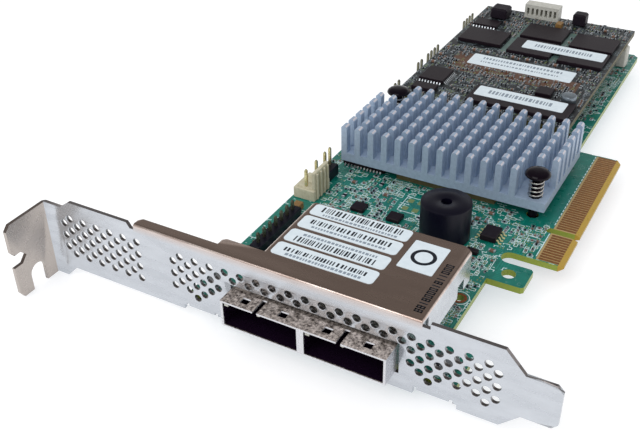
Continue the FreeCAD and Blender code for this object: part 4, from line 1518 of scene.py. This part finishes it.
    def under_fingers(self) -> None:
        """Plate the fingers of the solder side."""
        centres = np.concatenate([48.575 + np.arange(11), 62.125 + np.arange(38)])
        count = len(centres)
        low = np.column_stack([np.full(count, 100.9), centres - 0.35, np.full(count, -1.61)])
        high = np.column_stack([np.full(count, 105.6), centres + 0.35, np.full(count, -1.57)])
        piece("solder_side_fingers", *plain_boxes(low, high), FINGER_GOLD)

    def ring_and_pads(self) -> None:
        """Plate the ring by the hook and the four bare pads in their frame."""
        for name, radii, finish in (("plated_ring", (1.1, 1.75), COPPER_RING),
                                    ("printed_ring", (2.1, 2.3), SILK)):
            flat_ring(name, (90.5, 27, 0), radii, 0.03, 36, finish)
        low = [(x, y, 0) for x in (65, 67.7) for y in (52.4, 56.0)]
        high = [(x + 1.5, y + 1.6, 0.03) for x, y, _ in low]
        piece("bare_pads", *plain_boxes(np.array(low), np.array(high)), LAND)
        frame_low = [(64.2, 51.6, 0), (64.2, 58.2, 0), (64.2, 51.6, 0), (70.1, 51.6, 0)]
        frame_high = [(70.3, 51.8, .02), (70.3, 58.4, .02), (64.4, 58.4, .02), (70.3, 58.4, .02)]
        dash = np.arange(63, 99, 1.6)
        low = frame_low + [(100.1, y, 0) for y in dash] + [(100.1, 49, 0)]
        high = frame_high + [(100.3, y + 1.0, 0.02) for y in dash] + [(100.3, 59, 0.02)]
        piece("printed_frames", *plain_boxes(np.array(low), np.array(high)), SILK)


def sharpen(thing: Any, degrees: float = 40) -> None:
    """Keep edges sharper than an angle crisp on a smooth piece."""
    thing.data.set_sharp_from_angle(angle=math.radians(degrees))


@dataclass
class Cooler:
    """Heatsink, push pins and their springs."""

    spots: tuple[tuple[float, float], ...] = ((46.6, 89.4), (94.1, 64.9))
    turns: float = 4.5
    wire: float = 0.25
    coil: float = 1.6

    def build(self) -> None:
        """Dress the heatsink, turn the pins and wind the springs."""
        dress("heatsink", ANODISED)
        profile = [(0.5, -4.4), (0.9, -4.4), (1.85, -1.7), (1.15, -1.6), (1.15, 10.4), (1.6, 10.4),
                   (1.7, 11.0), (2.95, 11.15), (3.08, 11.4), (3.0, 11.75), (2.6, 12.15),
                   (2.0, 12.4), (1.0, 12.5), (0.05, 12.5)]
        pins = piece("push_pin_mouldings", *joined([turned(profile, s) for s in self.spots]),
                     PIN_NYLON, True)
        sharpen(pins, 50)
        stand_for(pins, "push_pins")
        coils = piece("push_pin_coils", *joined([self.spring(s) for s in self.spots]),
                      SPRING_WIRE, True)
        stand_for(recalculated(coils), "push_pin_springs")

    def spring(self, spot: tuple[float, float]) -> tuple[Array, Any]:
        """Wind one spring.

        The wire's centre is (R cos t, R sin t, rise * t); its section is a
        circle of the wire's radius in the plane of the radius and the axis.

        Args:
            spot: axis position.

        Returns:
            Points and faces.
        """
        steps, around = 130, 8
        turn = np.linspace(0, 2 * np.pi * self.turns, steps)[:, None]
        angle = np.linspace(0, 2 * np.pi, around, endpoint=False)[None]
        radius = self.coil + self.wire * np.cos(angle)
        low, high = 5.4 + self.wire, 10.4 - self.wire
        share = turn / turn.max()
        eased = np.clip((share - 0.06) / 0.88, 0, 1)
        height = low + (high - low) * eased + self.wire * np.sin(angle)
        points = np.stack([spot[0] + radius * np.cos(turn), spot[1] + radius * np.sin(turn),
                           height], axis=-1).reshape(-1, 3)
        faces = grid_faces(steps, around).tolist()
        last = (steps - 1) * around
        faces += [list(range(around)), [last + i for i in range(around)][::-1]]
        return points, faces


@dataclass
class MemoryBoard:
    """The upper board with its chips, labels, coils and crowd of small parts."""

    top: float = 8.0
    paper: float = 0.1
    fields: tuple[tuple[float, float, float, float], ...] = (
        (43.6, 96.4, 91.8, 135.0), (43.6, 149, 60.6, 169.2), (60, 158.8, 91.8, 169.2),
        (59.4, 135, 61.2, 158.8), (75.2, 135, 77.0, 158.8), (91.3, 110, 92.0, 168),
    )

    def build(self) -> None:
        """Dress the board and build what stands on it."""
        dress("memory_board", OLIVE_MASK)
        dress("board_plug", BLACK_NYLON)
        dress("board_socket", BLACK_NYLON)
        Moulded("rear_spacer", WHITE_NYLON, 0.4).build()
        dress("front_spacers", WHITE_NYLON)
        for number in range(1, 6):
            Moulded(f"memory_chip_{number}").build()
        for node in ("cache_chip", "logic_chip", "driver_chip", "small_chip", "small_regulator"):
            Moulded(node).build()
        for node in ("inductor_left", "inductor_right"):
            Moulded(node, FERRITE, 0.5).build()
        Moulded("tantalum_capacitor", TANTALUM, 0.15).build()
        dress("battery_connector", WHITE_NYLON)
        self.can()
        self.labels()
        self.lead_rows()
        ChipPart("memory_passives_brown", CERAMIC).build()
        ChipPart("memory_passives_dark", RESISTOR).build()
        Crowd("upper_small", self.top, self.fields, self.keep_out(), 11, silk=SILK_GREY,
              filled=0.7, brown=0.4, outlined=0.3, marked=0.18, framed=0.02,
              share=0.72).build()

    def keep_out(self) -> list[tuple[float, ...]]:
        """List the floor boxes that small parts stay off."""
        chips = [f"memory_chip_{n}" for n in range(1, 6)]
        return floor_boxes(
            chips + ["cache_chip", "logic_chip", "logic_leads", "driver_chip", "driver_leads",
                     "small_chip", "small_regulator", "inductor_left", "inductor_right",
                     "round_capacitor", "tantalum_capacitor", "battery_connector"],
            ("memory_labels", "memory_passives_brown", "memory_passives_dark"))

    def can(self) -> None:
        """Turn the small round capacitor: drawn can with a rolled edge."""
        profile = [(2.0, 8.0), (2.08, 8.1), (2.08, 9.7), (1.9, 9.95), (1.6, 10.0), (0.02, 10.0)]
        can = piece("round_capacitor_can", *turned(profile, (88, 111.7)), CAN, True)
        sharpen(can)
        stand_for(can, "round_capacitor")

    def labels(self) -> None:
        """Lay the three labels and their plain marks."""
        low, high = solids_of("memory_labels")
        sheets = [rounded_sheet(a, b, 0.5, self.paper) for a, b in zip(low, high)]
        stand_for(piece("memory_label_paper", *joined(sheets), LABEL_PAPER), "memory_labels")
        random = np.random.default_rng(21)
        marks = []
        for start, end in zip(low, high):
            deep = end[1] - start[1]
            film = (start[2] + self.paper, start[2] + self.paper + 0.008)
            for bottom, top in ((0.3, 0.42), (0.62, 0.8)) if deep > 7 else ((0.35, 0.7),):
                spans = strokes(start[0] + 3.5, end[0] - 4, lambda: random.uniform(0.25, 0.8),
                                lambda: 0.4)
                marks += [(x, wide, start[1] + bottom * deep, start[1] + top * deep, *film)
                          for x, wide in spans]
        piece("memory_label_marks", *stroke_boxes(marks), PALE_INK)

    def lead_rows(self) -> None:
        """Bend the leads of the logic and driver chips."""
        low, high = solids_of("logic_leads")
        size = high - low
        right = size[:, 0] > size[:, 1]
        front = ~right & (low[:, 1] < 110)
        bent_rows("logic_leads", TINNED, (right, Side.RIGHT), (front, Side.FRONT),
                  (~right & ~front, Side.BACK))
        front = solids_of("driver_leads")[0][:, 1] < 153
        bent_rows("driver_leads", TINNED, (front, Side.FRONT), (~front, Side.BACK))


# ---- floor, light, camera ---------------------------------------------------


@dataclass
class Studio:
    """Pale floor, soft light and the camera."""

    camera_at: tuple[float, float, float] = (33.2, -177.95, 122.4)
    azimuth: float = 29.92
    elevation: float = 33.81
    roll: float = -1.18
    lens: float = 50.96
    world: float = 0.78
    key: float = 1.5
    key_at: tuple[float, float, float] = (-0.12, -0.5, 0.55)
    key_toward: tuple[float, float, float] = (-0.04, 0.02, 0.0)
    key_size: tuple[float, float] = (0.5, 0.4)
    floor_glow: tuple[float, float, float] = (0.54, 0.56, 0.59)
    floor_paint: tuple[float, float, float] = (0.62, 0.6, 0.58)
    overhead: float = 0.22

    def build(self) -> None:
        """Set up the floor, the lamps, the world and the camera."""
        self.floor()
        self.lights()
        self.camera()
        bpy.context.scene.view_settings.view_transform = "Standard"

    def floor(self) -> None:
        """Lay a wide white floor that keeps a soft shadow."""
        low = CAD_BOX[0][2]
        reach = 3.0
        points = np.array([(-reach, -reach, low), (reach, -reach, low), (reach, reach, low),
                           (-reach, reach, low)])
        mesh = bpy.data.meshes.new("floor")
        mesh.from_pydata(points.tolist(), [], [[0, 1, 2, 3]])
        sheet = linked("floor", mesh)
        made = bpy.data.materials.new("painted_white_floor")
        made.use_nodes = True
        tree = made.node_tree
        output = next(n for n in tree.nodes if n.type == "OUTPUT_MATERIAL")
        path = add_node(tree, "ShaderNodeLightPath").outputs
        seen = calc(tree, "MAXIMUM", path["Is Camera Ray"], path["Is Glossy Ray"])
        seen = calc(tree, "MAXIMUM", seen, path["Is Transmission Ray"])
        plain = add_node(tree, "ShaderNodeBsdfDiffuse", {0: (0.86, 0.86, 0.86, 1)}).outputs[0]
        shade = add_node(tree, "ShaderNodeBsdfDiffuse", {
            0: (*self.floor_paint, 1)}).outputs[0]
        glow = add_node(tree, "ShaderNodeEmission", {0: (*self.floor_glow, 1)}).outputs[0]
        white = add_node(tree, "ShaderNodeAddShader", {0: shade, 1: glow}).outputs[0]
        lit = add_node(tree, "ShaderNodeMixShader", {0: seen, 1: plain, 2: white}).outputs[0]
        tree.links.new(lit, output.inputs[0])
        mesh.materials.append(made)
        sheet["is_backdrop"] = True

    def lights(self) -> None:
        """Hang one broad key above and left of the card, under an even world."""
        world = bpy.data.worlds.new("studio")
        bpy.context.scene.world = world
        world.use_nodes = True
        tree = world.node_tree
        output = next(n for n in tree.nodes if n.type == "OUTPUT_WORLD")
        even = add_node(tree, "ShaderNodeBackground", {0: (1, 1, 1, 1), 1: self.world}).outputs[0]
        white = add_node(tree, "ShaderNodeBackground", {0: (1, 1, 1, 1), 1: 1.0}).outputs[0]
        toward = add_node(tree, "ShaderNodeTexCoord").outputs["Generated"]
        height = add_node(tree, "ShaderNodeSeparateXYZ", {0: toward}).outputs[2]
        fall = add_node(tree, "ShaderNodeMapRange", {
            0: height, 1: 0.12, 2: 0.55, 3: 1.0, 4: self.overhead}).outputs[0]
        mirrored = add_node(tree, "ShaderNodeBackground", {0: (1, 1, 1, 1), 1: fall}).outputs[0]
        path = add_node(tree, "ShaderNodeLightPath").outputs
        seen = calc(tree, "MAXIMUM", path["Is Camera Ray"], path["Is Transmission Ray"])
        both = add_node(tree, "ShaderNodeMixShader", {0: seen, 1: even, 2: white}).outputs[0]
        both = add_node(tree, "ShaderNodeMixShader", {
            0: path["Is Glossy Ray"], 1: both, 2: mirrored}).outputs[0]
        tree.links.new(both, output.inputs[0])
        lamp = bpy.data.lights.new("key", "AREA")
        lamp.shape = "RECTANGLE"
        lamp.size, lamp.size_y = self.key_size
        lamp.energy = self.key
        spot = Vector(self.key_at)
        away = (spot - Vector(self.key_toward)).to_track_quat("Z", "Y")
        linked("key", lamp).matrix_world = (
            Matrix.Translation(spot) @ away.to_matrix().to_4x4())

    def camera(self) -> None:
        """Place the camera from its angles.

        back = (sin az cos el, -cos az cos el, sin el), right = (cos az, sin az, 0)
        and up = back x right, then right and up are rolled about back.
        """
        az, el, roll = (math.radians(v) for v in (self.azimuth, self.elevation, self.roll))
        back = Vector((math.sin(az) * math.cos(el), -math.cos(az) * math.cos(el), math.sin(el)))
        right = Vector((math.cos(az), math.sin(az), 0.0))
        up = back.cross(right)
        across = right * math.cos(roll) + up * math.sin(roll)
        upward = up * math.cos(roll) - right * math.sin(roll)
        lens = bpy.data.cameras.new("camera")
        lens.lens, lens.sensor_width = self.lens, 36.0
        lens.clip_start, lens.clip_end = 0.01, 20.0
        thing = linked("camera", lens)
        turn = Matrix((across, upward, back)).transposed().to_4x4()
        thing.matrix_world = Matrix.Translation(Vector(self.camera_at) * MM) @ turn
        bpy.context.scene.camera = thing


def main() -> None:
    """Build every sub-assembly in order."""
    for part in (Bracket(), Ports(), MainBoard(), Cooler(), MemoryBoard(), Studio()):
        part.build()
        log.info("built %s", type(part).__name__)
    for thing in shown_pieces():
        log.info("piece %s", getattr(thing, "name", thing))


if __name__ == "__main__":
    main()
